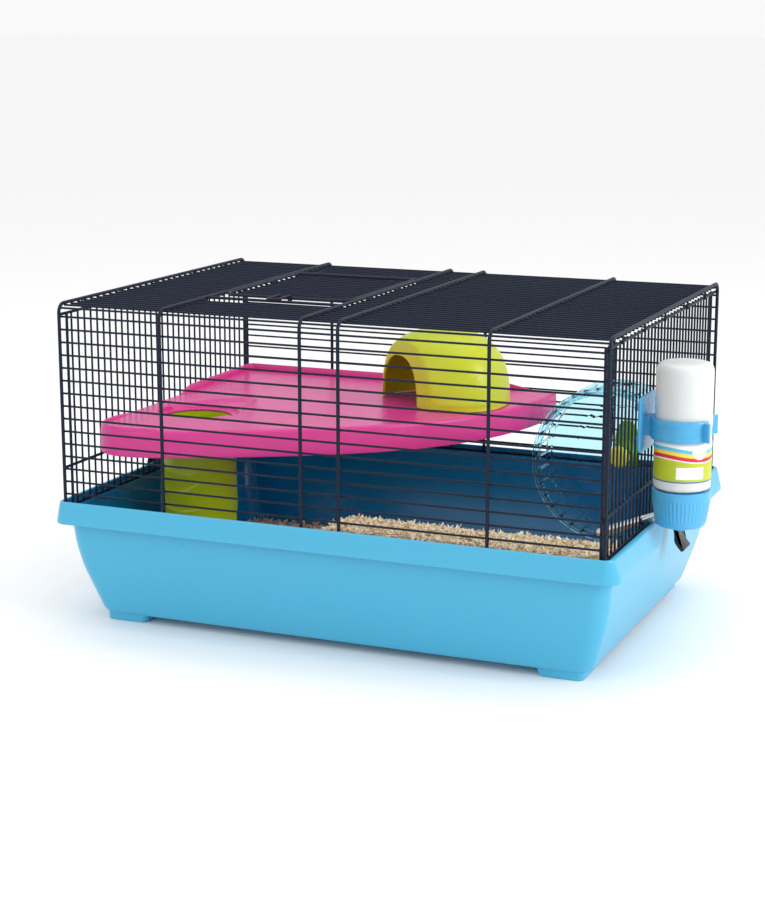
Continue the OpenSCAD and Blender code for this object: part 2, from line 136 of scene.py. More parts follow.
# A profile turned about an axis: rows of (radius, height) from the first point to the last.
def turned(profile, centre, axis="z", segments=96, closed=True, angles=None, shift=None):
    profile = np.asarray(profile, float)
    full = angles is None
    turn = np.linspace(0, 2 * np.pi, segments, endpoint=False) if full else np.asarray(angles)
    h = np.repeat(profile[:, 1:], len(turn), 1)
    r = profile[:, :1] + (np.zeros(h.shape) if shift is None else shift(turn[None, :], h))
    u, v = r * np.cos(turn), r * np.sin(turn)
    along = {"z": (u, v, h), "y": (u, h, v), "x": (h, u, v)}[axis]
    pts = np.stack(along, -1) + np.asarray(centre, float)
    quads = [gridQuads(*r.shape, closeRows=closed, closeCols=full)]
    if not full and closed:  # flat ends of a part turn
        n, m = r.shape
        quads += [(np.arange(n) * m)[None], (np.arange(n) * m + m - 1)[None]]
    return pts.reshape(-1, 3), quads


# A closed outline carried from one height to another, its ends rounded over by pulling it in along its
# normals.
def thickOutline(outline, low, high, edge=0.6, steps=3):
    loop = np.asarray(outline, float)
    ahead, behind = np.roll(loop, -1, 0), np.roll(loop, 1, 0)
    along = ahead - behind
    out = np.stack([along[:, 1], -along[:, 0]], -1)
    out /= np.linalg.norm(out, axis=1)[:, None] + 1e-12
    area = 0.5 * np.sum(loop[:, 0] * ahead[:, 1] - ahead[:, 0] * loop[:, 1])
    out *= np.sign(area)
    t = np.linspace(0, np.pi / 2, steps + 1)
    pull = np.concatenate([edge * (1 - np.sin(t)), edge * (1 - np.cos(t))])
    level = np.concatenate([low + edge * (1 - np.cos(t)), high - edge + edge * np.sin(t)])
    pts = np.concatenate([loop[None] - out[None] * pull[:, None, None],
                          np.broadcast_to(level[:, None, None], (len(level), len(loop), 1))], -1)
    return capped(pts)


# The corner points of a rounded rectangle, anticlockwise.
def roundedBox(halfX, halfY, radius, steps=6):
    t = np.linspace(0, np.pi / 2, steps + 1)
    quarter = np.stack([np.cos(t), np.sin(t)], -1) * radius
    turns = [np.array([[np.cos(q), np.sin(q)], [-np.sin(q), np.cos(q)]]) for q in np.arange(4) * np.pi / 2]
    corners = [(1, 1), (-1, 1), (-1, -1), (1, -1)]
    return np.concatenate([quarter @ turns[q] + np.array([sx * (halfX - radius), sy * (halfY - radius)])
                           for q, (sx, sy) in enumerate(corners)])


def smoothStep(a, b, t):
    u = np.clip((t - a) / (b - a), 0, 1)
    return u * u * (3 - 2 * u)


def dress(piece, material, body, slot, *replaced):
    piece.data.materials.clear()
    piece.data.materials.append(material)
    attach(piece, body)
    if replaced:
        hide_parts(*replaced)
    return piece


def nodeIn(tree, kind, at=(0, 0), **values):
    node = tree.nodes.new(kind)
    node.location = at
    for key, value in values.items():
        if key in node.inputs:
            node.inputs[key].default_value = value
        else:
            setattr(node, key, value)
    return node


# Feeds a node's sockets: a number or a colour is set on the socket, anything else is linked to it.
def feedNode(tree, node, feeds):
    for socket, feed in feeds.items():
        if isinstance(feed, (int, float, tuple)):
            node.inputs[socket].default_value = feed
        else:
            tree.links.new(feed, node.inputs[socket])
    return node


def wired(tree, kind, at, feeds, **values):
    return feedNode(tree, nodeIn(tree, kind, at, **values), feeds)


# A surface effect shared by the moulded plastics: soft shade changes, uneven gloss and a faint orange-peel
# skin.
def mouldedSkinGroup():
    group = bpy.data.node_groups.new("mouldedSkin", "ShaderNodeTree")
    face = group.interface
    face.new_socket("Base", in_out="INPUT", socket_type="NodeSocketColor")
    face.new_socket("Shade", in_out="INPUT", socket_type="NodeSocketFloat").default_value = 0.06
    face.new_socket("Gloss", in_out="INPUT", socket_type="NodeSocketFloat").default_value = 0.25
    face.new_socket("Gloss Change", in_out="INPUT", socket_type="NodeSocketFloat").default_value = 0.08
    face.new_socket("Skin", in_out="INPUT", socket_type="NodeSocketFloat").default_value = 0.1
    face.new_socket("Scuffs", in_out="INPUT", socket_type="NodeSocketFloat").default_value = 0.3
    face.new_socket("Color", in_out="OUTPUT", socket_type="NodeSocketColor")
    face.new_socket("Roughness", in_out="OUTPUT", socket_type="NodeSocketFloat")
    face.new_socket("Normal", in_out="OUTPUT", socket_type="NodeSocketVector")
    given = nodeIn(group, "NodeGroupInput", (-900, 0))
    result = nodeIn(group, "NodeGroupOutput", (700, 0))
    place = nodeIn(group, "ShaderNodeTexCoord", (-900, -300))
    link = group.links.new

    broad, fine, scratch = (
        wired(group, "ShaderNodeTexNoise", (-650, y), {"Vector": place.outputs["Object"]}, Scale=scale,
              Detail=detail,
              Roughness=rough)
        for y, scale, detail, rough in ((200, 9.0, 3.0, 0.5), (-100, 900.0, 2.0, 0.5),
                                        (-400, 60.0, 8.0, 0.75)))
    darker = wired(group, "ShaderNodeHueSaturation", (-400, 350), {"Color": given.outputs["Base"]},
                   Saturation=1.08,
                   Value=0.82)
    amount = wired(group, "ShaderNodeMath", (-400, 150), {0: broad.outputs["Fac"], 1: given.outputs["Shade"]},
                   operation="MULTIPLY")
    spread = wired(group, "ShaderNodeMath", (-200, 150), {0: amount.outputs[0], 1: 2.0}, operation="MULTIPLY")
    tone = wired(group, "ShaderNodeMix", (100, 300), {"Factor": spread.outputs[0], "A": given.outputs["Base"],
                                                      "B": darker.outputs["Color"]}, data_type="RGBA")
    link(tone.outputs["Result"], result.inputs["Color"])
    worn = wired(group, "ShaderNodeMapRange", (-400, -400), {"From Min": 0.5, "From Max": 0.72,
                                                            "Value": scratch.outputs["Fac"]})
    scuffed = wired(group, "ShaderNodeMath", (-200, -400),
                    {0: worn.outputs["Result"], 1: given.outputs["Scuffs"]},
                    operation="MULTIPLY")
    uneven = wired(group, "ShaderNodeMath", (-200, -150), {0: broad.outputs["Fac"], 1: scuffed.outputs[0]},
                   operation="ADD")
    change = wired(group, "ShaderNodeMath", (0, -150),
                   {0: uneven.outputs[0], 1: given.outputs["Gloss Change"]},
                   operation="MULTIPLY")
    gloss = wired(group, "ShaderNodeMath", (200, -100), {0: given.outputs["Gloss"], 1: change.outputs[0]},
                  operation="ADD", use_clamp=True)
    link(gloss.outputs[0], result.inputs["Roughness"])
    bump = wired(group, "ShaderNodeBump", (300, -350),
                 {"Height": fine.outputs["Fac"], "Strength": given.outputs["Skin"]},
                 Distance=0.0002)
    link(bump.outputs["Normal"], result.inputs["Normal"])
    return group


mouldedSkin = mouldedSkinGroup()


# A plastic: the skin group feeds colour, roughness and normal, and the rest are plain values on the shader.
# An optional second colour is painted shade, laid where the piece's own mask says so.
def plastic(name, color, gloss=0.22, glossChange=0.1, shade=0.08, skin=0.12, scuffs=0.35, paintedShadeColor=None,
            **shader):
    material = bpy.data.materials.new(name)
    material.use_nodes = True
    tree = material.node_tree
    surface = tree.nodes["Principled BSDF"]
    base = (*color, 1)
    # Painted shade: the masked part takes a darker second colour in place of the shade that falls there.
    if paintedShadeColor:  # a second colour where the piece's own mask says so
        mask = nodeIn(tree, "ShaderNodeAttribute", (-900, 200), attribute_name="paintedInnerShade")
        base = wired(tree, "ShaderNodeMix", (-600, 200), {"Factor": mask.outputs["Fac"], "A": base,
                                                          "B": (*paintedShadeColor, 1)},
                                                          data_type="RGBA").outputs["Result"]
    effect = nodeIn(tree, "ShaderNodeGroup", (-350, 100), node_tree=mouldedSkin)
    feedNode(tree, effect, {"Base": base, "Shade": shade, "Gloss": gloss, "Gloss Change": glossChange,
                            "Skin": skin,
                            "Scuffs": scuffs})
    for output, socket in (("Color", "Base Color"), ("Roughness", "Roughness"), ("Normal", "Normal")):
        tree.links.new(effect.outputs[output], surface.inputs[socket])
    for socket, value in shader.items():
        surface.inputs[socket.replace("_", " ")].default_value = value
    return material


# The tray's inside is painted a deeper, more saturated blue than its outside. This is painted shade for the
# dim, blue-lit inside of a tray that is one colour throughout.
trayBlue = plastic("trayBlue", (0.070, 0.42, 0.64), gloss=0.18, glossChange=0.1, skin=0.06,
                   paintedShadeColor=(0.0, 0.21, 0.50), Specular_IOR_Level=0.42)
fittingBlue = plastic("fittingBlue", (0.075, 0.40, 0.70), gloss=0.2, skin=0.08)
deckPink = plastic("deckPink", (0.72, 0.045, 0.30), gloss=0.24, glossChange=0.14, skin=0.12, shade=0.1)
limePlastic = plastic("limePlastic", (0.46, 0.60, 0.004), gloss=0.24, skin=0.12)
houseYellow = plastic("houseYellow", (0.60, 0.67, 0.022), gloss=0.28, skin=0.14)
capYellow = plastic("capYellow", (0.72, 0.70, 0.04), gloss=0.22)
latchBlack = plastic("latchBlack", (0.012, 0.012, 0.014), gloss=0.3, skin=0.3)
gripGrey = plastic("gripGrey", (0.42, 0.44, 0.46), gloss=0.5, skin=0.5)
sealBlack = plastic("sealBlack", (0.02, 0.02, 0.02), gloss=0.6, skin=0.4)
wheelClear = plastic("wheelClear", (0.52, 0.86, 0.96), gloss=0.015, glossChange=0.01, skin=0.0, shade=0.02,
                     scuffs=0.05,
                     Transmission_Weight=1.0, IOR=1.26)
bottleWhite = plastic("bottleWhite", (0.90, 0.92, 0.92), gloss=0.28, glossChange=0.08, skin=0.1, shade=0.03,
                      Transmission_Weight=0.28, IOR=1.45)
wirePaint = plastic("wirePaint", (0.004, 0.011, 0.028), gloss=0.42, glossChange=0.1, skin=0.3, shade=0.25,
                    Specular_IOR_Level=0.22)
spoutSteel = plastic("spoutSteel", (0.66, 0.66, 0.67), gloss=0.16, glossChange=0.15, skin=0.05, Metallic=1.0)
print("stage: materials made")


# Rings of a rounded rectangle: rows of half length, half depth, corner radius and height, with points along
# the sides.
def boxRings(rows, arc=10, side=24):
    a, b, r, z = np.asarray(rows, float).T
    t = np.linspace(0, np.pi / 2, arc + 1)
    corners = [(1, 1), (-1, 1), (-1, -1), (1, -1)]
    arcs = [np.stack([sx * (a - r)[:, None] + r[:, None] * np.cos(t + q * np.pi / 2),
                      sy * (b - r)[:, None] + r[:, None] * np.sin(t + q * np.pi / 2)], -1)
            for q, (sx, sy) in enumerate(corners)]
    f = np.linspace(0, 1, side + 1)[1:-1, None]
    rings = np.concatenate([np.concatenate([arcs[q],
                                            arcs[q][:, -1:] * (1 - f) + arcs[(q + 1) % 4][:, :1] * f], 1)
                            for q in range(4)], 1)
    return np.concatenate([rings, np.broadcast_to(z[:, None, None], (*rings.shape[:2], 1))], -1)


# A smooth random-looking height made of crossed sine waves, each shorter and lower than the one before.
def ripple(x, y, seed=0.0, octaves=4):
    total = np.zeros(np.broadcast(x, y).shape)
    for k in range(octaves):
        f, g = 2.0 ** k, 0.55 ** k
        oneWay = np.sin(f * (x * 0.9 + y * 0.5) + 1.7 * k + seed)
        otherWay = np.sin(f * (y * 1.1 - x * 0.4) + 2.9 * k + seed)
        total += g * (oneWay * otherWay)
    return total


# A shape drawn in X and Z with a depth along Y, its long edges rounded over.
def prismY(outline, y0, y1, edge=0.6, steps=3):
    points, polygons = thickOutline(outline, y0, y1, edge, steps)
    return points[:, [0, 2, 1]], polygons


# A shape drawn in Y and Z with a depth along X.
def prismX(outline, x0, x1, edge=0.6, steps=3):
    points, polygons = thickOutline(outline, x0, x1, edge, steps)
    return points[:, [2, 0, 1]], polygons


# A block with rounded upright corners and rounded ends, between two corner points.
def block(low, high, radius=1.0, edge=0.5, axis="z"):
    low, high = np.array(low, float), np.array(high, float)
    order = {"z": [0, 1, 2], "y": [0, 2, 1], "x": [1, 2, 0]}[axis]
    a, b = low[order], high[order]
    half, centre = (b - a) / 2, (a + b) / 2
    outline = roundedBox(half[0], half[1], min(radius, 0.95 * min(half[0], half[1])), 4) + centre[:2]
    points, polygons = thickOutline(outline, a[2], b[2], edge)
    back = np.argsort(order)
    return points[:, back], polygons


# Tray: one moulded shell, with a flared skirt round its rim and four low feet.
tray = {"halfX": 255.0, "halfY": 181.0, "recessHalf": 30.0, "recessEnd": 44.0, "recessLift": 10.0,
        "footX": 199.5, "footY": 129.3}
l, d = tray["halfX"], tray["halfY"]
traySection = [
    (0.5, 0.5, 0.2, 7.5), (l - 30.5, d - 29, 14, 7.5), (l - 28, d - 27.3, 15, 10.5),
    (l - 22.3, d - 22.3, 15, 28),
    (l - 15.5, d - 15.5, 15, 50), (l - 11.3, d - 11.3, 15, 72), (l - 10, d - 10, 15, 88),
    (l - 9.8, d - 9.8, 15, 100),
    (l - 2.6, d - 2.6, 12, 91.2), (l, d, 14, 91.2), (l - 0.3, d - 0.1, 13.5, 94), (l - 5, d - 2.2, 7.5, 110),
    (l - 6, d - 2.8, 7, 111.2), (l - 8.8, d - 3.9, 4.6, 111.2), (l - 9, d - 4.1, 4.4, 105.6),
    (l - 16.5, d - 13.3, 12, 105.6), (l - 16.3, d - 13.1, 12, 103.5), (l - 13, d - 12.8, 13, 98),
    (l - 12.8, d - 12.8, 13, 88), (l - 14, d - 14, 13, 72), (l - 18.2, d - 18.2, 13, 50),
    (l - 25, d - 25, 13, 28),
    (l - 32, d - 30.5, 13, 12), (l - 36, d - 34, 11, 10.2), (0.5, 0.5, 0.2, 10.2)]
trayRounding = [0, 3, 3, 8, 10, 10, 4, 1.2, 0.9, 1.0, 2.5, 4.0, 0.9, 0.9, 1.2, 1.0, 1.0, 3, 4, 8, 10, 8, 5,
                2, 0]
rings = boxRings(filletPath(traySection, trayRounding, 4), arc=12, side=60)
x, y, z = np.moveaxis(rings, -1, 0).copy()
outsideRows = np.arange(len(z)) < int(np.argmax(z[:, 0] > 111.1))
skirtRow = outsideRows & (np.abs(rings[:, 0, 0] - l) < 9.3) & (z[:, 0] > 90)
ends = 1 - smoothStep(tray["recessHalf"], tray["recessEnd"], np.abs(y))
low = np.clip((111.2 - z) / 20.0, 0, 1)
lift = tray["recessLift"] * ends * low * skirtRow[:, None] * (np.abs(x) > l - 14)
z = z + lift
x = x - np.sign(x) * lift * 0.3
points = np.stack([x, y, z], -1)
count, around = rings.shape[:2]
# Rows past the top of the rim, inside the tray, are marked for the painted shade colour.
inner = np.broadcast_to((np.arange(count) > np.argmax(z[:, 0] > 111.1) + 4)[:, None], (count, around)).ravel()
feet = []
for sx in (-1, 1):
    for sy in (-1, 1):
        rows = boxRings(filletPath([(0.5, 0.5, 0.2, 0), (19.2, 20.4, 5.5, 0), (20.8, 21.1, 5.5, 9.4),
                                    (0.5, 0.5, 0.2, 9.4)],
                                   [0, 1.3, 0.3, 0], 3), arc=6, side=4)
        foot = rows + np.array([sx, 0, 0]) * 1.2 * (1 - rows[..., 2:] / 9.4)
        foot = foot + np.array([sx * tray["footX"], sy * tray["footY"], 0])
        feet.append(capped(foot))
shell, shellFaces = joinParts([capped(points)] + feet)
trayPiece = makePiece("trayShell", shell, shellFaces, 40, merge=False)
# The painted shade mask: one on the inside rows, nothing on the outside and the feet.
side = trayPiece.data.attributes.new("paintedInnerShade", "FLOAT", "POINT")
side.data.foreach_set("value", np.concatenate([inner, np.zeros(len(shell) - len(inner))]).astype(np.float32))
settleMesh(trayPiece.data)
dress(trayPiece, trayBlue, "tray", "blue_tray", "tray")
print("stage: tray")

# Bedding: a loose layer with a rough top, heaped along the front from the middle to the right, and shavings
# on it.
bedding = {"rings": 46, "rough": 1.6, "strips": 6400, "corner": 12.6}


# The height of the layer: low at the back and left, and rising to the rim along the front right.
def beddingHeight(x, y):
    return 20 + 87 * smoothStep(-100, 10, x) * smoothStep(40, -135, y)


# How far the tray's inner wall lets the layer reach along X and along Y at a height.
def wallReach(z):
    up = [10.2, 12, 28, 50, 72, 88, 98, 103.5, 107]
    return (l - 0.3 - np.interp(z, up, [36, 32, 25, 18.2, 14, 12.8, 13, 16.3, 16.5]),
            d - 0.3 - np.interp(z, up, [34, 30.5, 25, 18.2, 14, 12.8, 12.8, 13.1, 13.3]))


wall = boxRings([(211, 138, 6, 10.4)], arc=12, side=48)[0][:, :2]
corner = np.clip(wall, [-205, -132], [205, 132])
outward = (wall - corner) / 6


# The layer's edge where it meets the wall at a height, with the wall's own corner radius.
def wallLine(z):
    reach = np.stack(wallReach(z), -1)
    return corner * (reach - bedding["corner"]) / [205, 132] + outward * bedding["corner"]


edge = wall
# The height follows the place and the place follows the height, so a few rounds settle them together
for step in range(4):
    edge = wallLine(beddingHeight(edge[:, 0], edge[:, 1]))
share = np.concatenate([[1], np.linspace(1, 0.01, bedding["rings"])])[:, None]
x, y = edge[:, 0] * share, edge[:, 1] * share
z = beddingHeight(x, y)
rough = ripple(x * 0.16, y * 0.16, 0.4) * bedding["rough"] + ripple(x * 0.55, y * 0.55, 2.0, 3) * 0.7
z = z - 1.0 + rough * (1 - 0.8 * smoothStep(0.93, 1.0, share))
x[0], y[0], z[0] = wall[:, 0], wall[:, 1], 10.4
points = np.stack([x, y, z], -1)
beddingPiece = makePiece("beddingLayer", *capped(points), 70)


# Shavings: thin closed strips of wood, each bent round an arc, turned and tilted at random.
def shavings(name, seed, number, xRange, yRange):
    rng = np.random.default_rng(seed)
    px, py = rng.uniform(*xRange, number), rng.uniform(*yRange, number)
    pz = beddingHeight(px, py) + rng.uniform(-0.6, 2.4, number) + 1.2 * ripple(px * 0.16, py * 0.16, 0.4)
    reachX, reachY = wallReach(pz)
    past = np.hypot(np.clip(np.abs(px) - reachX + 14, 0, None), np.clip(np.abs(py) - reachY + 14, 0, None))
    px, py, pz = px[past < 12.2], py[past < 12.2], pz[past < 12.2]
    number = len(px)
    length = rng.uniform(3, 10, number)
    width = rng.uniform(0.9, 2.8, number)
    bend = rng.uniform(2.0, 9, number)
    spiral = rng.normal(0, 0.5, number)
    s = np.linspace(-0.5, 0.5, 4)
    angle = s[None] * (length / bend)[:, None]
    along = bend[:, None] * np.sin(angle)
    up = bend[:, None] * (1 - np.cos(angle)) * np.where(rng.random(number) < 0.35, -1, 1)[:, None]
    taper = 1 - 0.5 * np.abs(2 * s) ** 3
    across = width[:, None] * taper[None] / 2
    corners = [(-1, -1), (1, -1), (1, 1), (-1, 1)]
    strip = np.stack([np.stack([along, across * cy + spiral[:, None] * s[None] * 2, up + 0.17 * cz], -1)
                      for cy, cz in corners], 2)
    a, b, c = rng.uniform(0, 2 * np.pi, number), rng.normal(0, 0.38, number), rng.normal(0, 0.42, number)
    ca, sa, cb, sb, cc, sc = np.cos(a), np.sin(a), np.cos(b), np.sin(b), np.cos(c), np.sin(c)
    turn = np.stack([np.stack([ca * cb, ca * sb * sc - sa * cc, ca * sb * cc + sa * sc], -1),
                     np.stack([sa * cb, sa * sb * sc + ca * cc, sa * sb * cc - ca * sc], -1),
                     np.stack([-sb, cb * sc, cb * cc], -1)], -2)
    strip = np.einsum("nij,nabj->nabi", turn, strip)
    strip = strip + np.stack([px, py, pz], -1)[:, None, None]
    first = np.arange(number)[:, None] * 16
    tube = gridQuads(4, 4, closeCols=True)
    caps = np.array([[0, 1, 2, 3], [12, 13, 14, 15]])
    quads = (first[:, :, None] + np.concatenate([tube, caps])[None]).reshape(-1, 4)
    piece = makePiece(name, strip.reshape(-1, 3), [quads], 60, merge=False)
    settleMesh(piece.data, 1e-7)
    tone = piece.data.attributes.new("tone", "FLOAT", "POINT")
    tone.data.foreach_set("value", np.repeat(rng.random(number), 16).astype(np.float32))
    return piece


frontShavings = shavings("shavingsFront", 3, bedding["strips"], (-70, 238), (-167, -50))
leftShavings = shavings("shavingsRest", 5, bedding["strips"], (-238, 238), (-167, 167))
leftLow = shavings("shavingsLeft", 8, bedding["strips"] // 2, (-238, 60), (-167, 20))

woodTone = bpy.data.materials.new("woodShavings")
woodTone.use_nodes = True
tree = woodTone.node_tree
surface = tree.nodes["Principled BSDF"]
tone = nodeIn(tree, "ShaderNodeAttribute", (-900, 200), attribute_name="tone")
place = nodeIn(tree, "ShaderNodeTexCoord", (-1100, -100))
spot = {"Vector": place.outputs["Object"]}
grain = wired(tree, "ShaderNodeTexNoise", (-900, -100), spot, Scale=420.0, Detail=4.0)
patches = wired(tree, "ShaderNodeTexNoise", (-900, -350), spot, Scale=70.0, Detail=3.0)
mixed = wired(tree, "ShaderNodeMath", (-700, 100), {0: tone.outputs["Fac"], 1: grain.outputs["Fac"]},
              operation="ADD")
broader = wired(tree, "ShaderNodeMath", (-700, -200), {0: patches.outputs["Fac"], 1: 0.6, 2: -0.25},
                operation="MULTIPLY_ADD")
shade = wired(tree, "ShaderNodeMath", (-550, 100), {0: mixed.outputs[0], 1: 0.5, 2: broader.outputs[0]},
              operation="MULTIPLY_ADD")
ramp = wired(tree, "ShaderNodeValToRGB", (-350, 150), {"Fac": shade.outputs[0]})
for position, color in ((0.0, (0.27, 0.17, 0.08)), (0.34, (0.48, 0.34, 0.18)), (0.62, (0.68, 0.53, 0.32)),
                        (1.0, (0.86, 0.74, 0.53))):
    stop = ramp.color_ramp.elements.new(position) if position not in (0.0, 1.0) else \
        ramp.color_ramp.elements[int(position)]
    stop.color = (*color, 1)
tree.links.new(ramp.outputs["Color"], surface.inputs["Base Color"])
bump = wired(tree, "ShaderNodeBump", (-350, -200), {"Height": grain.outputs["Fac"]}, Distance=0.0006,
             Strength=0.4)
tree.links.new(bump.outputs["Normal"], surface.inputs["Normal"])
surface.inputs["Roughness"].default_value = 0.85
tone = beddingPiece.data.attributes.new("tone", "FLOAT", "POINT")
spots = np.random.default_rng(2).random(len(beddingPiece.data.vertices)).astype(np.float32) * 0.7
tone.data.foreach_set("value", spots)
dress(beddingPiece, woodTone, "tray", "wood_shavings", "bedding")
for piece in (frontShavings, leftShavings, leftLow):
    dress(piece, woodTone, "tray", "wood_shavings")
print("stage: bedding")

# Deck: a shallow upside-down tray with a curved front edge, a sunk collar round its hole, and a raised back
# border.
deck = {"left": -236.4, "back": 170.8, "top": 172.0, "holeX": -183.0, "holeY": -42.0,
        "holeR": 35.5, "tubeR": 31.2}


# Points along a cubic curve with four control points.
def cubic(p0, p1, p2, p3, steps):
    t = np.linspace(0, 1, steps)[:, None]
    p0, p1, p2, p3 = np.array([p0, p1, p2, p3], float)
    return (1 - t) ** 3 * p0 + 3 * (1 - t) ** 2 * t * p1 + 3 * (1 - t) * t * t * p2 + t ** 3 * p3


left, back, top = deck["left"], deck["back"], deck["top"]
outline = np.concatenate([
    cubic((left, -114), (left, -134), (-222, -146), (-203, -146), 20)[:-1],
    cubic((-203, -146), (-185, -146), (-158, -137), (-127, -120.5), 20)[:-1],
    cubic((-127, -120.5), (-20, -62), (88, -5), (91.5, back), 90),
    np.stack([np.linspace(87.5, left + 4, 70), np.full(70, back)], -1),
    np.stack([np.full(60, left), np.linspace(back - 4, -110, 60)], -1)])
ahead, behind = np.roll(outline, -1, 0), np.roll(outline, 1, 0)
normal = np.stack([(ahead - behind)[:, 1], -(ahead - behind)[:, 0]], -1)
normal /= np.linalg.norm(normal, axis=1)[:, None]
hole = np.array([deck["holeX"], deck["holeY"]])
toward = outline - hole
toward /= np.linalg.norm(toward, axis=1)[:, None]
# rows: how far in from the outline, share of the way to the hole, radius at the hole, height
deckSection = [(0, 0, 0, top - 24), (-0.5, 0, 0, top - 14), (0.2, 0, 0, top), (12, 0, 0, top)]
deckSection += [(12, s, deck["holeR"] + 3, top) for s in np.linspace(0.12, 1, 26)]
deckSection += [(0, 1, deck["holeR"], top), (0, 1, deck["holeR"], 167), (0, 1, deck["tubeR"], 167),
                (0, 1, deck["tubeR"], 165), (0, 1, deck["holeR"] + 2.2, 165),
                (0, 1, deck["holeR"] + 2.2, top - 2.2),
                (12, 0.6, deck["holeR"] + 3, top - 2.2), (2.2, 0, 0, top - 2.2), (2.2, 0, 0, top - 24)]
roundings = [0.8, 5, 3.2, 3] + [0] * 26 + [1.8, 1.2, 0.7, 0.7, 0.7, 1, 0, 1, 0.8]
rows = []
for inset, share, radius, height in deckSection:  # one ring of points per row of the section
    # wide insets run towards the hole, so that none of them folds over at a corner
    rim = outline - (toward if inset > 5 else normal) * inset
    flat = rim * (1 - share) + (hole + toward * radius) * share
    rows.append(np.concatenate([flat, np.full((len(flat), 1), height)], 1))
rows = np.array(rows)


# Rounds a closed stack of rings along its own section, ring by ring.
def roundRings(rings, radii, steps=3):
    out = []
    for i, ring in enumerate(rings):
        if radii[i] <= 0:
            out.append(ring)
            continue
        a, b = rings[i - 1] - ring, rings[(i + 1) % len(rings)] - ring
        la, lb = np.linalg.norm(a, axis=1)[:, None], np.linalg.norm(b, axis=1)[:, None]
        cut = np.minimum(radii[i], 0.45 * np.minimum(la, lb))
        start, end = ring + a / la * cut, ring + b / lb * cut
        out += [(1 - t) ** 2 * start + 2 * t * (1 - t) * ring + t * t * end for t in np.linspace(0, 1,
                                                                                                 steps + 1)]
    return np.array(out)


rows = roundRings(rows, roundings)
x, y, z = np.moveaxis(rows, -1, 0).copy()
onTop = (z > top - 1.9) & (z <= top + 0.01)
# The scoop that leads from the back right down into the hole, and one very shallow step across the top
run = np.array([16.0, 55.0])
alongShare = np.clip(((x - hole[0]) * run[0] + (y - hole[1]) * run[1]) / (run @ run), 0, 1)
gap = np.hypot(x - hole[0] - alongShare * run[0],
               y - hole[1] - alongShare * run[1]) - (40 - 29 * alongShare ** 1.3)
z = z - np.where(onTop, 1, 0) * (5.0 - 2.0 * alongShare) * (1 - smoothStep(-4, 3, gap)) * (alongShare > 0.02)
crease = (x + 60) * 0.83 + (y - 60) * 0.55
z = z - onTop * 0.5 * smoothStep(-2.5, 2.5, crease) * smoothStep(0, 20, back - y)
rows = np.stack([x, y, z], -1)
count, around = rows.shape[:2]
shell = (rows.reshape(-1, 3), [gridQuads(count, around, closeRows=True, closeCols=True)])
parts = [shell]
# The raised border: one strip that runs round the front left corner, up the left side and along the back
line = np.concatenate([
    np.stack([np.linspace(86, left + 9, 60), np.full(60, back)], -1),
    cubic((left + 8, back), (left + 3, back), (left, back - 3), (left, back - 8), 9),
    np.stack([np.full(70, left), np.linspace(back - 9, -112, 70)], -1),
    cubic((left, -114), (left, -134), (-222, -146), (-203, -146), 20),
    cubic((-203, -146), (-185, -146), (-158, -137), (-127, -120.5), 20)[1:]])
step = np.gradient(line, axis=0)
inward = np.stack([-step[:, 1], step[:, 0]], -1) / np.linalg.norm(step, axis=1)[:, None]
lx, ly = line.T
rise = np.where(ly > -20, smoothStep(10, 45, ly) * (1 - smoothStep(30, 84, lx)),
                0.42 * smoothStep(-60, -105, ly) * (1 - smoothStep(-190, -150, lx)))
across = np.array([-1.35, -1.35, -0.9, 0.9, 1.35, 1.35])
drop = np.array([9.0, 0.7, 0.0, 0.0, 0.7, 9.0])
inset = (1.45 + 1.9 * (1 - rise))[:, None] + across[None]
height = np.maximum((171.1 + 6.9 * rise)[:, None] - drop[None], 170.3)
strip = np.concatenate([line[:, None] + inward[:, None] * inset[..., None], height[..., None]], -1)
parts.append(capped(strip))
for hookX in (-195, -95, 50):  # clips that hang the deck on the back wires
    side = filletPath([(168.8, 164), (174.0, 164), (174.0, 157.5), (175.8, 157.5), (175.8, 170),
                       (168.8, 170)],
                      [0.3, 0.5, 0.3, 0.6, 1.5, 0.3], 3, closed=True)
    parts.append(prismX(side, hookX - 4, hookX + 4, 0.4))
points, polygons = joinParts(parts)
dress(makePiece("deckShell", points, polygons, 42), deckPink, "cage", "pink_deck", "deck")
print("stage: deck")

# Climbing tube: a tapering tube with an arched way in, and curved footholds pressed into its wall.
tube = {"x": -183.0, "y": -42.0, "z0": 44.0, "z1": 164.7, "r0": 36.5, "r1": 33.5, "wall": 2.2, "archAt": 50.0,
        "archR": 24.0}
archTop = tube["z0"] + 2 * tube["archR"]
height = np.concatenate([np.linspace(tube["z0"], archTop - 8, 26)[:-1],
                         archTop - 8 * np.linspace(1, 0, 14) ** 2,
                         np.linspace(archTop + 1.6, tube["z1"], 44)])
opening = np.sqrt(np.clip(tube["archR"] ** 2 - np.clip(height - tube["z0"] - tube["archR"], 0, None) ** 2,
                          0, None))
radius = tube["r0"] + (tube["r1"] - tube["r0"]) * (height - tube["z0"]) / (tube["z1"] - tube["z0"])
halfTurn = np.arcsin(opening / radius)
share = np.linspace(0, 1, 193)
turn = np.radians(tube["archAt"]) + halfTurn[:, None] + share[None] * (2 * np.pi - 2 * halfTurn[:, None])


# Footholds: soft ledges that sag in the middle, each a rounded step out of the wall.
def footholds(turn, height):
    face = np.degrees(turn) - 262
    face = (face + 180) % 360 - 180
    total = np.zeros(turn.shape)
    for base, lean in ((146, 5), (128, -4), (110, 4), (93, -3)):
        line = base - 7 * (1 - (face / 42) ** 2) + lean * face / 42
        below = line - height
        total += np.exp(-np.abs(below) / 6.5) * (below > 0) * smoothStep(44, 26,
                                                                         np.abs(face)) * smoothStep(0, 1.2,
                                                                                                    below)
    return 1.25 * total


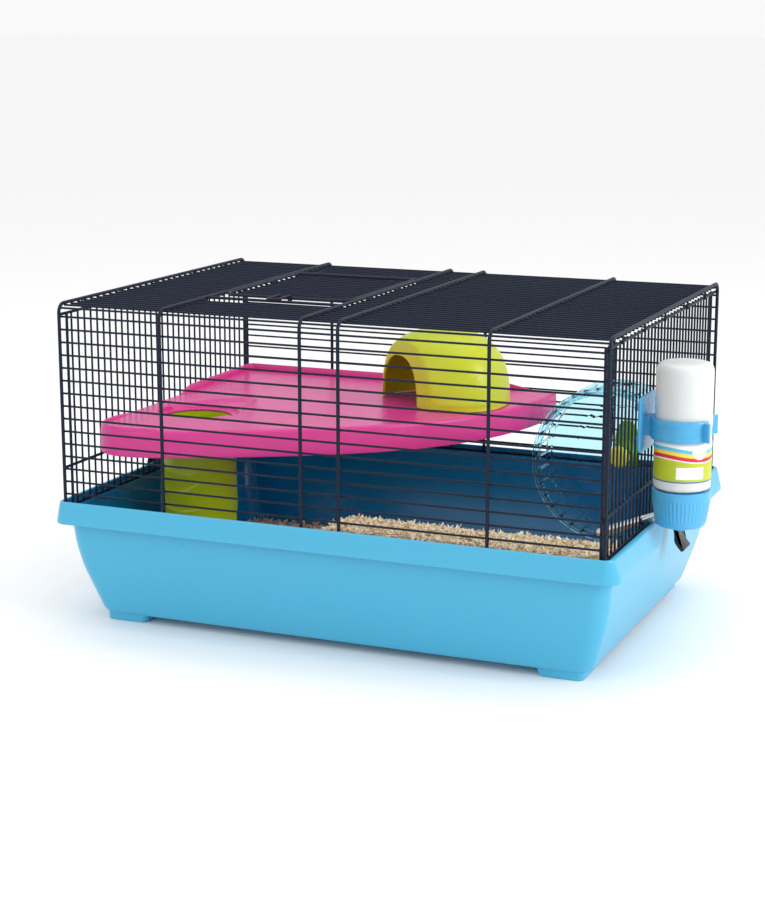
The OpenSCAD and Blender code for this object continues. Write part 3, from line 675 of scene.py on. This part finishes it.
tall = np.broadcast_to(height[:, None], turn.shape)
walls = []
for thickness, press in ((0.0, 1.0), (tube["wall"], 0.0)):
    r = radius[:, None] - thickness + press * footholds(turn, tall)
    walls.append(np.stack([tube["x"] + r * np.cos(turn), tube["y"] + r * np.sin(turn), tall], -1))
outer, innerWall = walls
n, m = outer.shape[:2]
openRows = int(np.sum(height < archTop - 0.01))
polygons = [gridQuads(n, m), gridQuads(n, m, first=n * m)[:, ::-1]]
columns = np.arange(m - 1)
foot = np.stack([columns + 1, columns, n * m + columns, n * m + columns + 1], -1)
polygons += [foot, foot[:, ::-1] + (n - 1) * m]
r = np.arange(openRows) * m
polygons += [np.stack([r, r + m, n * m + r + m, n * m + r], -1),
             np.stack([r + 2 * m - 1, r + m - 1, n * m + r + m - 1, n * m + r + 2 * m - 1], -1)]
dress(makePiece("climbingTube", np.concatenate([outer.reshape(-1, 3), innerWall.reshape(-1, 3)]), polygons,
                42), limePlastic, "cage", "lime_plastic", "climbing_tube")
print("stage: climbing tube")

# House: a dome with one flat face and an arched doorway in it.
house = {"x": 8.0, "y": 85.0, "z": 172.1, "a": 61.5, "b": 50.5, "h": 68.5, "power": 2.6, "wall": 2.2,
         "turn": 234.2, "front": 37.2, "doorY": -16.9, "doorHalf": 30.0, "doorHigh": 44.0, "doorPower": 2.4}


# The dome: a superellipse in plan and in height, so it is fuller than an ellipsoid.
def domeGrid(a, b, h, drop, rows=64, cols=224):
    p = 2 / house["power"]
    t = np.linspace(0, 1, rows)[:, None] ** 0.9
    w = np.linspace(0, 2 * np.pi, cols, endpoint=False)[None]
    up = np.sin(t * np.pi / 2)
    k = np.clip(1 - up ** house["power"], 0, 1) ** (1 / house["power"])
    c, s = np.cos(w), np.sin(w)
    return np.stack([a * k * np.sign(c) * np.abs(c) ** p, b * k * np.sign(s) * np.abs(s) ** p,
                     np.broadcast_to(h * up, k.shape[:1] + (cols,)) - drop * (t == 0)], -1)


# Points beyond the flat face's plane are drawn back to it, with a soft edge where the dome meets it.
ahead = np.array([math.cos(math.radians(house["turn"])), math.sin(math.radians(house["turn"]))])
grids = []
for inset, soft in ((0.0, 1.1), (house["wall"], 1.1)):
    grid = domeGrid(house["a"] - inset, house["b"] - inset, house["h"] - inset, 0)
    reach = grid[..., :2] @ ahead
    limit = house["front"] - inset
    held = -soft * np.logaddexp(-reach / soft, -limit / soft) + soft * 0.05
    out = grid * np.array([1 / house["a"] ** 2, 1 / house["b"] ** 2, 1 / house["h"] ** 2])
    out /= np.linalg.norm(out, axis=-1)[..., None]
    lip = np.exp(-((grid[..., 2] - 6.5) / 1.2) ** 2) * (grid[..., 1] < 0) * smoothStep(limit - 3, limit - 9,
                                                                                       reach)
    grid = grid + out * (0.9 * lip * (inset == 0))[..., None]
    grid[..., :2] += (held - reach)[..., None] * ahead
    grid[0, :, 2] = 0
    grids.append(grid)
work = bmesh.new()
bottoms = []
for grid in grids:
    n, m = grid.shape[:2]
    verts = [work.verts.new(p) for p in grid.reshape(-1, 3).tolist()]
    bottoms.append(verts[:m])
    for quad in gridQuads(n, m, closeCols=True).tolist():
        work.faces.new([verts[k] for k in quad])
for k in range(m):
    work.faces.new([bottoms[0][k], bottoms[0][(k + 1) % m], bottoms[1][(k + 1) % m], bottoms[1][k]])
bmesh.ops.remove_doubles(work, verts=work.verts, dist=0.01)
bmesh.ops.dissolve_degenerate(work, edges=work.edges, dist=0.001)
bmesh.ops.recalc_face_normals(work, faces=work.faces)
mesh = bpy.data.meshes.new("houseShell")
work.to_mesh(mesh)
work.free()
housePiece = bpy.data.objects.new("houseShell", mesh)
bpy.context.scene.collection.objects.link(housePiece)
# The doorway: a fuller-than-elliptic arch pushed through the flat face only
a = np.linspace(0, np.pi, 61)
power = 2 / house["doorPower"]
arch = np.stack([house["doorY"] + house["doorHalf"] * np.sign(np.cos(a)) * np.abs(np.cos(a)) ** power,
                 house["doorHigh"] * np.sin(a) ** power], -1)
arch = np.concatenate([[[arch[0, 0], -4]], arch, [[arch[-1, 0], -4]]])
side = np.array([-ahead[1], ahead[0]])
plug = np.concatenate([np.concatenate([ahead * u + side * arch[:, :1], arch[:, 1:]], 1)
                       for u in (house["front"] - 12, house["front"] + 12)])
n = len(arch)
cutMesh = bpy.data.meshes.new("doorwayCut")
cutMesh.from_pydata(plug.tolist(), [], [list(range(n))[::-1], list(range(n, 2 * n))] + [
    [k, (k + 1) % n, n + (k + 1) % n, n + k] for k in range(n)])
work = bmesh.new()
work.from_mesh(cutMesh)
bmesh.ops.recalc_face_normals(work, faces=work.faces)
work.to_mesh(cutMesh)
work.free()
cutter = bpy.data.objects.new("doorwayCut", cutMesh)
bpy.context.scene.collection.objects.link(cutter)
carve = housePiece.modifiers.new("doorway", "BOOLEAN")
carve.operation, carve.solver, carve.object = "DIFFERENCE", "EXACT", cutter
carved = bpy.data.meshes.new_from_object(housePiece.evaluated_get(bpy.context.evaluated_depsgraph_get()))
housePiece.modifiers.clear()
bpy.data.objects.remove(cutter)
housePiece.data = carved
place = np.empty(len(carved.vertices) * 3)
carved.vertices.foreach_get("co", place)
place = (place.reshape(-1, 3) + [house["x"], house["y"], house["z"]]) * mm
carved.vertices.foreach_set("co", place.ravel())
carved.update()
carved.shade_smooth()
carved.set_sharp_from_angle(angle=math.radians(40))
dress(housePiece, houseYellow, "house", "yellow_plastic", "house")
print("stage: house")

# Wheel: a clear ring and a clear back disc with rungs between them, on a bracket clipped to the back wires.
wheel = {"x": 163.0, "z": 120.0, "rungs": 36}
centre = (wheel["x"], 0, wheel["z"])
ringSection = filletPath([(72.5, 103), (72.5, 107), (70.6, 107), (70.0, 105.9), (67.4, 105.9), (66.8, 107),
                          (65.5, 107),
                          (65.5, 103)], [1.0, 0.7, 0.4, 0.5, 0.5, 0.4, 0.6, 1.0], 4, closed=True)
dress(makePiece("wheelRing", *turned(ringSection, centre, "y", 144)), wheelClear, "wheel", "clear_wheel",
      "wheel_ring")
discSection = filletPath([
    (3.06, 143), (9, 143), (9, 147.4), (20, 148.6), (42, 148.6), (44, 147.8), (47, 147.8), (49, 148.6),
    (67.5, 148.6),
    (67.5, 145), (72.5, 145), (72.5, 151), (49.5, 151), (47.5, 150.2), (43.5, 150.2), (41.5, 151),
    (3.06, 151)],
    [0.3, 0.8, 2.5, 2, 1, 0.8, 0.8, 1, 1.2, 0.8, 0.9, 1.0, 0.8, 0.6, 0.6, 0.8, 0.3], 4, closed=True)
dress(makePiece("wheelDisc", *turned(discSection, centre, "y", 144)), wheelClear, "wheel", "clear_wheel",
      "wheel_disc")
rungs = []
for k in range(wheel["rungs"]):
    a = 2 * math.pi * k / wheel["rungs"]
    at = (wheel["x"] + 70 * math.cos(a), 0, wheel["z"] + 70 * math.sin(a))
    rod = filletPath([(0.01, 106.4), (1.25, 106.4), (1.25, 145.6), (0.01, 145.6)], [0, 0.6, 0.6, 0], 3)
    rungs.append(turned(rod, at, "y", 10, closed=False))
dress(makePiece("wheelRungs", *joinParts(rungs), 50), wheelClear, "wheel", "clear_wheel", "wheel_rungs")
capSection = filletPath([(0.01, 138), (8.5, 138), (10.5, 143), (4.5, 143), (4.5, 140), (0.01, 140)],
                        [0, 2.2, 0.4, 0.3, 0.3, 0], 5)
dress(makePiece("wheelHubCap", *turned(capSection, centre, "y", 64, closed=False)), capYellow, "wheel",
      "yellow_plastic", "wheel_hub_cap")

plate = filletPath([(-11, -13.5), (11, -13.5), (11, 20), (5, 30), (-5, 30), (-11, 20)], [2, 2, 6, 5, 5, 6],
                   5, closed=True)
plate = plate + np.array([wheel["x"], wheel["z"]])
parts = [prismY(plate, 168.4, 171, 0.6)]
boss = filletPath([(3.0, 155), (8, 155), (8.2, 166), (10.5, 168.9), (3.0, 168.9)], [0.2, 1.0, 4, 0.1, 0.1],
                  4, closed=True)
parts.append(turned(boss, centre, "y", 48))
for rib in range(4):
    a = math.pi / 4 + rib * math.pi / 2
    fin = [(6.5, 157.5), (9.2, 166.5), (9.2, 168.9), (6.5, 168.9)]
    fin = filletPath(fin, 0.3, 2, closed=True)
    flat, faces = thickOutline(fin, -0.8, 0.8, 0.3)
    r, y, t = flat.T
    parts.append((np.stack([wheel["x"] + r * math.cos(a) - t * math.sin(a), y,
                            wheel["z"] + r * math.sin(a) + t * math.cos(a)], -1), faces))
for clipZ in (10.5, -11.5):
    z0 = wheel["z"] + clipZ
    side = filletPath([(170.6, z0), (176, z0), (176, z0 + 12), (174.1, z0 + 12), (174.1, z0 + 6),
                       (170.6, z0 + 6)],
                      [0.2, 1.2, 0.6, 0.6, 0.5, 0.2], 3, closed=True)
    parts.append(prismX(side, wheel["x"] - 4, wheel["x"] + 4, 0.4))
dress(makePiece("wheelBracket", *joinParts(parts)), limePlastic, "cage", "lime_plastic", "wheel_bracket")
axle = filletPath([(0.01, 140.6), (3, 140.6), (3, 165), (0.01, 165)], [0, 0.8, 0.2, 0], 3)
dress(makePiece("wheelAxle", *turned(axle, centre, "y", 32, closed=False)), spoutSteel, "cage", "steel",
      "wheel_axle")
print("stage: wheel")

# Bottle: hangs cap down outside the right end, in a strap on a plate, with a printed label and a ball spout.
bottle = {"x": 271.5, "y": -52.5, "r": 23.5, "labelLow": 153.0, "labelHigh": 184.0,
          "labelFrom": -160.0, "labelTo": 140.0, "ribs": 44}
centre = (bottle["x"], bottle["y"], 0)
shellSection = filletPath([
    (0.01, 249.5), (6, 249.0), (23.5, 249.5), (23.5, 199), (23.1, 196), (23.1, 190), (23.5, 187),
    (23.5, 146), (20.5, 144.2),
    (16, 143.8), (16, 121.2), (14.6, 121.2), (14.6, 145.2), (22.1, 147.5), (22.1, 187), (21.9, 190),
    (21.9, 196),
    (22.1, 199), (22.1, 241), (15.5, 248.0), (0.01, 248.0)],
    [0, 3, 8, 2, 1.5, 1.5, 2, 3, 1.5, 0.8, 0.5, 0.5, 1, 3, 2, 1.5, 1.5, 2, 6, 4, 0], 6)
dress(makePiece("bottleShell", *turned(shellSection, centre, "z", 96, closed=False)), bottleWhite, "bottle",
      "bottle", "bottle_shell")

turnCount, riseCount = 121, 9
a = np.radians(np.linspace(bottle["labelFrom"], bottle["labelTo"], turnCount))
h = np.linspace(bottle["labelLow"], bottle["labelHigh"], riseCount)
sheets = []
for r in (bottle["r"] + 0.04, bottle["r"] + 0.26):
    hh, aa = np.meshgrid(h, a, indexing="ij")
    sheets.append(np.stack([bottle["x"] + r * np.cos(aa), bottle["y"] + r * np.sin(aa), hh], -1).reshape(-1,
                                                                                                         3))
first = riseCount * turnCount
edgeLoop = np.concatenate([np.arange(turnCount), np.arange(1, riseCount) * turnCount + turnCount - 1,
                           (riseCount - 1) * turnCount + np.arange(turnCount - 2, -1, -1),
                           np.arange(riseCount - 2, 0, -1) * turnCount])
nextLoop = np.roll(edgeLoop, -1)
polygons = [gridQuads(riseCount, turnCount)[:, ::-1], gridQuads(riseCount, turnCount, first=first),
            np.stack([edgeLoop, nextLoop, nextLoop + first, edgeLoop + first], -1)]
labelPiece = makePiece("bottleLabel", np.concatenate(sheets), polygons, 30, merge=False)
across = np.tile(np.linspace(0, 1, turnCount), riseCount * 2)
upward = np.tile(np.repeat(np.linspace(0, 1, riseCount), turnCount), 2)
layer = labelPiece.data.uv_layers.new(name="labelMap")
corner = np.empty(len(labelPiece.data.loops), np.int32)
labelPiece.data.loops.foreach_get("vertex_index", corner)
layer.data.foreach_set("uv", np.stack([across[corner], upward[corner]], -1).astype(np.float32).ravel())
settleMesh(labelPiece.data, 1e-7)


# Label print: plain bands, a round spot and an empty panel, drawn from the piece's own map.
def labelPrint():
    material = bpy.data.materials.new("labelPrint")
    material.use_nodes = True
    tree = material.node_tree
    surface = tree.nodes["Principled BSDF"]
    link = tree.links.new
    place = nodeIn(tree, "ShaderNodeUVMap", (-1600, 0), uv_map="labelMap")
    apart = nodeIn(tree, "ShaderNodeSeparateXYZ", (-1400, 0))
    link(place.outputs["UV"], apart.inputs["Vector"])
    u, v = apart.outputs["X"], apart.outputs["Y"]

    def maths(operation, *feeds):
        return wired(tree, "ShaderNodeMath", (0, 0), dict(enumerate(feeds)), operation=operation).outputs[0]

    def between(value, low, high):
        return maths("MULTIPLY", maths("GREATER_THAN", value, low), maths("LESS_THAN", value, high))

    def paint(under, color, mask):
        under = (*under, 1) if isinstance(under, tuple) else under
        return wired(tree, "ShaderNodeMix", (0, 0), {"Factor": mask, "A": under, "B": (*color, 1)},
                     data_type="RGBA").outputs["Result"]

    swell = maths("MULTIPLY", maths("SINE", maths("MULTIPLY", u, 11.0)), 0.05)
    height = maths("SUBTRACT", v, swell)
    color = paint((0.47, 0.55, 0.02), (0.86, 0.88, 0.87), maths("GREATER_THAN", height, 0.86))
    color = paint(color, (0.12, 0.52, 0.78), between(height, 0.80, 0.90))
    color = paint(color, (0.86, 0.72, 0.05), between(height, 0.70, 0.80))
    color = paint(color, (0.72, 0.012, 0.06), between(height, 0.60, 0.70))
    color = paint(color, (0.9, 0.9, 0.88), between(height, 0.57, 0.60))
    panel = maths("MULTIPLY", between(u, 0.24, 0.43), between(v, 0.1, 0.42))
    color = paint(color, (0.9, 0.9, 0.9), panel)
    spotU = maths("MULTIPLY", maths("SUBTRACT", u, 0.40), 4.0)
    spotV = maths("SUBTRACT", v, 0.84)
    spot = maths("LESS_THAN", maths("SQRT", maths("ADD", maths("MULTIPLY", spotU, spotU),
                                                  maths("MULTIPLY", spotV, spotV))),
                 0.22)
    color = paint(color, (0.92, 0.92, 0.9), spot)
    color = paint(color, (0.9, 0.91, 0.9), maths("GREATER_THAN", u, 0.62))
    color = paint(color, (0.04, 0.16, 0.42), maths("LESS_THAN", v, 0.035))
    link(color, surface.inputs["Base Color"])
    surface.inputs["Roughness"].default_value = 0.32
    return material


dress(labelPiece, labelPrint(), "bottle", "label", "bottle_label")

capSection = filletPath([(14.5, 113), (19.5, 113), (21, 116), (24, 136), (24, 143.5), (16.8, 143.5),
                         (16.8, 118),
                         (5.2, 118), (5.2, 113)], [0, 1.0, 1.0, 1.5, 0.6, 0.6, 0.8, 0.3, 0.3], 5, closed=True)


# Grip ribs: small rounded ridges that stand out of the cap's side between its chamfers.
def capRibs(turn, height):
    band = smoothStep(116.5, 119, height) * smoothStep(137.5, 135, height)
    return 0.38 * (np.abs(np.cos(turn * bottle["ribs"] / 2)) ** 3 - 0.5) * band


section = np.array(capSection)
ahead = np.roll(section, -1, 0)
steps = np.maximum(1, (np.linalg.norm(ahead - section, axis=1) / 2.0).astype(int))
dense = np.concatenate([np.linspace(p, q, k, endpoint=False) for p, q, k in zip(section, ahead, steps)])
points, polygons = turned(dense, centre, "z", 352,
                          shift=lambda turn, height: capRibs(turn, height) * (dense[:, None, 0] > 18.5))
low = [(0.01, 113), (5.6, 113), (5.6, 118), (0.01, 118)]
plug = turned(filletPath(low, [0, 0.2, 0.2, 0], 2), centre, "z", 48, closed=False)
collar = filletPath([(4.3, 108.5), (5.6, 108.5), (7.4, 113.6), (4.3, 113.6)], [0.4, 1.0, 0.2, 0.2], 3,
                    closed=True)
dress(makePiece("bottleCap", *joinParts([(points, polygons), plug, turned(collar, centre, "z", 48)]), 42),
      fittingBlue, "cage", "blue_fitting", "bottle_cap")
seal = filletPath([(11, 118), (16.4, 118), (16.4, 121), (11, 121)], 0.6, 3, closed=True)
dress(makePiece("capSeal", *turned(seal, centre, "z", 64)), sealBlack, "cage", "seal", "cap_seal")

spout = {"tip": (201.0, -52.5, 97.8), "tilt": 21.9}
tilt = math.radians(spout["tilt"])
spoutWay = np.array([math.cos(tilt), 0, math.sin(tilt)])
spoutSide = np.array([-math.sin(tilt), 0, math.cos(tilt)])


# Carries points turned about Z onto the spout's sloping line.
def alongSpout(points):
    x, y, z = np.asarray(points).T
    return np.array(spout["tip"]) + z[:, None] * spoutWay + x[:, None] * spoutSide + y[:,
                                                                                       None] * np.array([0,
                                                                                                         1,
                                                                                                         0])


section = filletPath([(2.5, 0), (3.2, 0), (3.8, 1.4), (3.8, 54.5), (3.05, 54.5), (3.05, 0.8), (2.5, 0.6)],
                     [0.15, 0.4, 0.6, 0.3, 0.2, 0.2, 0.1], 4, closed=True)
points, polygons = turned(section, (0, 0, 0), "z", 48)
dress(makePiece("spoutTube", alongSpout(points), polygons), spoutSteel, "cage", "steel", "spout_tube")
print("stage: bottle")

# Bottle holder: a plate clipped on the end wires, a short arm, and an open strap with flared ends.
holder = {"inner": 23.95, "thick": 2.6, "from": 38.0, "sweep": 294.0}
plate = filletPath([(-77, 177), (-77, 218), (-72, 221), (-33, 221), (-28, 218), (-28, 177), (-33, 174),
                    (-72, 174)],
                   4, 4, closed=True)
parts = [prismX(plate, 239.4, 241.8, 0.7)]
parts.append(prismX(filletPath([(-61.5, 187), (-43.5, 187), (-43.5, 203), (-61.5, 203)], 2, 3, closed=True),
                    240.4, 247.8))
a = np.radians(np.linspace(holder["from"], holder["from"] + holder["sweep"], 110))
r0, r1 = holder["inner"], holder["inner"] + holder["thick"]
section = filletPath([(r0, 186), (r1, 186), (r1 + 0.5, 188), (r1 + 0.5, 190), (r1, 192), (r1, 198),
                      (r1 + 0.5, 200),
                      (r1 + 0.5, 202), (r1, 204), (r0, 204)],
                      [0.6, 0.6, 0.6, 0.6, 0.8, 0.8, 0.6, 0.6, 0.6, 0.6], 3,
                     closed=True)
parts.append(turned(section, centre, "z", angles=a))
for at, out in ((holder["from"] + 1, 1), (holder["from"] + holder["sweep"] - 361, -1)):
    tab = roundedBox(4.4, 1.3, 1.2, 4) + np.array([r1 + 2.2, 0])
    points, polygons = thickOutline(tab, 187, 203, 0.8)
    lean = math.radians(at + out * 8)
    x, y, z = points.T
    points = np.stack([centre[0] + x * math.cos(lean) - y * math.sin(lean),
                       centre[1] + x * math.sin(lean) + y * math.cos(lean), z], -1)
    parts.append((points, polygons))
for clipY in (-66.5, -45):
    for clipZ in (180, 208):
        parts.append(block((233.6, clipY, clipZ), (240, clipY + 6, clipZ + 6), 1.2, 0.5, "x"))
dress(makePiece("bottleHolder", *joinParts(parts)), fittingBlue, "cage", "blue_fitting", "bottle_holder")
print("stage: bottle holder")

# Latches: a bent lever that hangs on the end rail and hooks under the tray's rim, with a grey grip.
latch = {"half": 11.0, "pinZ": 142.0, "pinX": 240.4}
inside = [(244.6, 142.8), (244.6, 122), (250.8, 112.5), (256.2, 92.5), (256.2, 86), (258.6, 82), (263, 77)]
outside = [(266, 79.5), (261.7, 84.5), (259.5, 90), (259.5, 93), (254.1, 113.6), (248, 122.8), (248, 142.8)]
profile = filletPath(inside + outside, [1.0, 5, 6, 3, 2, 2, 1.3, 1.3, 2, 2, 2, 6, 4, 1.0], 5, closed=True)
for side, name in ((-1, "left"), (1, "right")):
    mirror = np.array([side, 1, 1])
    lever = prismY(profile, -latch["half"], latch["half"], 1.0)
    eye = filletPath([(1.31, -3.7), (3.4, -3.7), (3.4, 3.7), (1.31, 3.7)], [0.2, 0.5, 0.5, 0.2], 3,
                     closed=True)
    eye = turned(eye, (latch["pinX"], 0, latch["pinZ"]), "y", 40)
    arm = block((242.2, -3.6, 139.6), (246.4, 3.6, 144.4), 0.8, 0.3, "y")
    points, polygons = joinParts([lever, eye, arm])
    dress(makePiece(name + "LatchLever", points * mirror, polygons), latchBlack, name + "_latch",
          "black_plastic", name + "_latch_lever")
    grip = roundedBox(7.5, 9, 2.5, 5) + np.array([0, 132.5])
    points, polygons = prismX(grip, 248.0, 249.6, 0.5)
    lines = [prismX(roundedBox(5.6, 0.7, 0.65, 4) + np.array([0, z]), 249.2, 250.1, 0.3) for z in (126.9,
                                                                                                   130.6,
                                                                                                   134.3,
                                                                                                   138)]
    points, polygons = joinParts([(points, polygons)] + lines)
    dress(makePiece(name + "LatchGrip", points * mirror, polygons), gripGrey, name + "_latch", "grey_pad",
          name + "_latch_pad")
print("stage: latches")

# Wires: the wire nodes are kept as they are and painted; small welds are added where they cross.
painted = [n for n in nodes if n.startswith("hoop_") or n in (
    "base_rails", "front_wires", "back_wires", "top_wires", "left_end_wires", "right_end_wires",
    "left_end_rails",
    "right_end_rails", "door_frame", "door_wires", "door_hinge_loops", "door_latch_loop")]
for n in painted:
    node = nodes[n]
    node.data.materials.clear()
    node.data.materials.append(wirePaint)
ball = nodes["spout_ball"]
ball.data.materials.clear()
ball.data.materials.append(spoutSteel)

hoopX = np.array([-243, -146, -17, 17, 146, 243.0])
welds = []
frontZ = 283.9 - 11.1 * np.arange(1, 16)
topY = -164.4 + 10.7 * np.arange(32)
for s in (-1, 1):
    gx, gz = np.meshgrid(hoopX, frontZ)
    welds.append(np.stack([gx.ravel(), np.full(gx.size, s * 173.4), gz.ravel()], -1))
gx, gy = np.meshgrid(hoopX, topY)
welds.append(np.stack([gx.ravel(), gy.ravel(), np.full(gx.size, 282.3)], -1))
print("stage: wires")

# Welds: one small blob for each crossing, all made together from an eight-sided bead.
beadUp = np.linspace(-np.pi / 2, np.pi / 2, 5)[1:-1]
beadRound = np.arange(6) * np.pi / 3
bead = np.stack([np.cos(beadUp)[:, None] * np.cos(beadRound), np.cos(beadUp)[:, None] * np.sin(beadRound),
                 np.broadcast_to(np.sin(beadUp)[:, None], (3, 6))], -1).reshape(-1, 3)
bead = np.concatenate([bead, [[0, 0, -1], [0, 0, 1]]]) * 1.35
spots = np.concatenate(welds)
points = (spots[:, None] + bead[None]).reshape(-1, 3)
first = (np.arange(len(spots)) * 20)[:, None, None]
quads = (first + gridQuads(3, 6, closeCols=True)[None]).reshape(-1, 4)
ring = np.arange(6)
low = np.stack([np.full(6, 18), np.roll(ring, -1), ring], -1)
high = np.stack([np.full(6, 19), ring + 12, np.roll(ring, -1) + 12], -1)
tips = (first + np.concatenate([low, high])[None]).reshape(-1, 3)
dress(makePiece("wireWelds", points, [quads, tips], 80, merge=False), wirePaint, "cage", "painted_wire")
print("stage: welds", len(spots))

# Floor, light and camera.
floorMesh = bpy.data.meshes.new("floor")
floorMesh.from_pydata([(-60, -60, 0), (60, -60, 0), (60, 60, 0), (-60, 60, 0)], [], [(0, 1, 2, 3)])
floor = bpy.data.objects.new("floor", floorMesh)
bpy.context.scene.collection.objects.link(floor)
floorPaint = bpy.data.materials.new("floorPaint")
floorPaint.use_nodes = True
floorPaint.node_tree.nodes["Principled BSDF"].inputs["Base Color"].default_value = (0.97, 0.97, 0.97, 1)
floorPaint.node_tree.nodes["Principled BSDF"].inputs["Roughness"].default_value = 0.7
floorMesh.materials.append(floorPaint)
floor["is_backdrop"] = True

world = bpy.data.worlds.new("studio")
bpy.context.scene.world = world
world.use_nodes = True
world.node_tree.nodes["Background"].inputs["Color"].default_value = (1, 1, 1, 1)
world.node_tree.nodes["Background"].inputs["Strength"].default_value = 0.95


# A soft square lamp that looks at the middle of the cage.
def softLamp(name, place, size, power, target=(0, 0, 0.13)):
    lamp = bpy.data.lights.new(name, "AREA")
    lamp.shape = "SQUARE"
    lamp.size = size
    lamp.energy = power
    holder = bpy.data.objects.new(name, lamp)
    holder.location = place
    holder.rotation_euler = (Vector(target) - Vector(place)).to_track_quat("-Z", "Y").to_euler()
    bpy.context.scene.collection.objects.link(holder)
    return holder


softLamp("keyLamp", (2.0, -0.2, 1.0), 1.0, 20)
softLamp("frontLamp", (-0.7, -1.9, 1.1), 1.3, 5)
softLamp("topLamp", (0.0, 0.2, 1.9), 1.4, 7)

camera = bpy.data.cameras.new("camera")
camera.lens = 77.5
camera.sensor_width = 36
camera.sensor_fit = "AUTO"
cameraPlace = bpy.data.objects.new("camera", camera)
cameraPlace.location = (0.6453, -1.5767, 0.5194)
cameraPlace.rotation_euler = (math.radians(77.5), 0, math.radians(22.8))
bpy.context.scene.collection.objects.link(cameraPlace)
bpy.context.scene.camera = cameraPlace
bpy.context.scene.view_settings.view_transform = "Standard"
bpy.context.view_layer.update()

low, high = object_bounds()
print("stage: finishing")
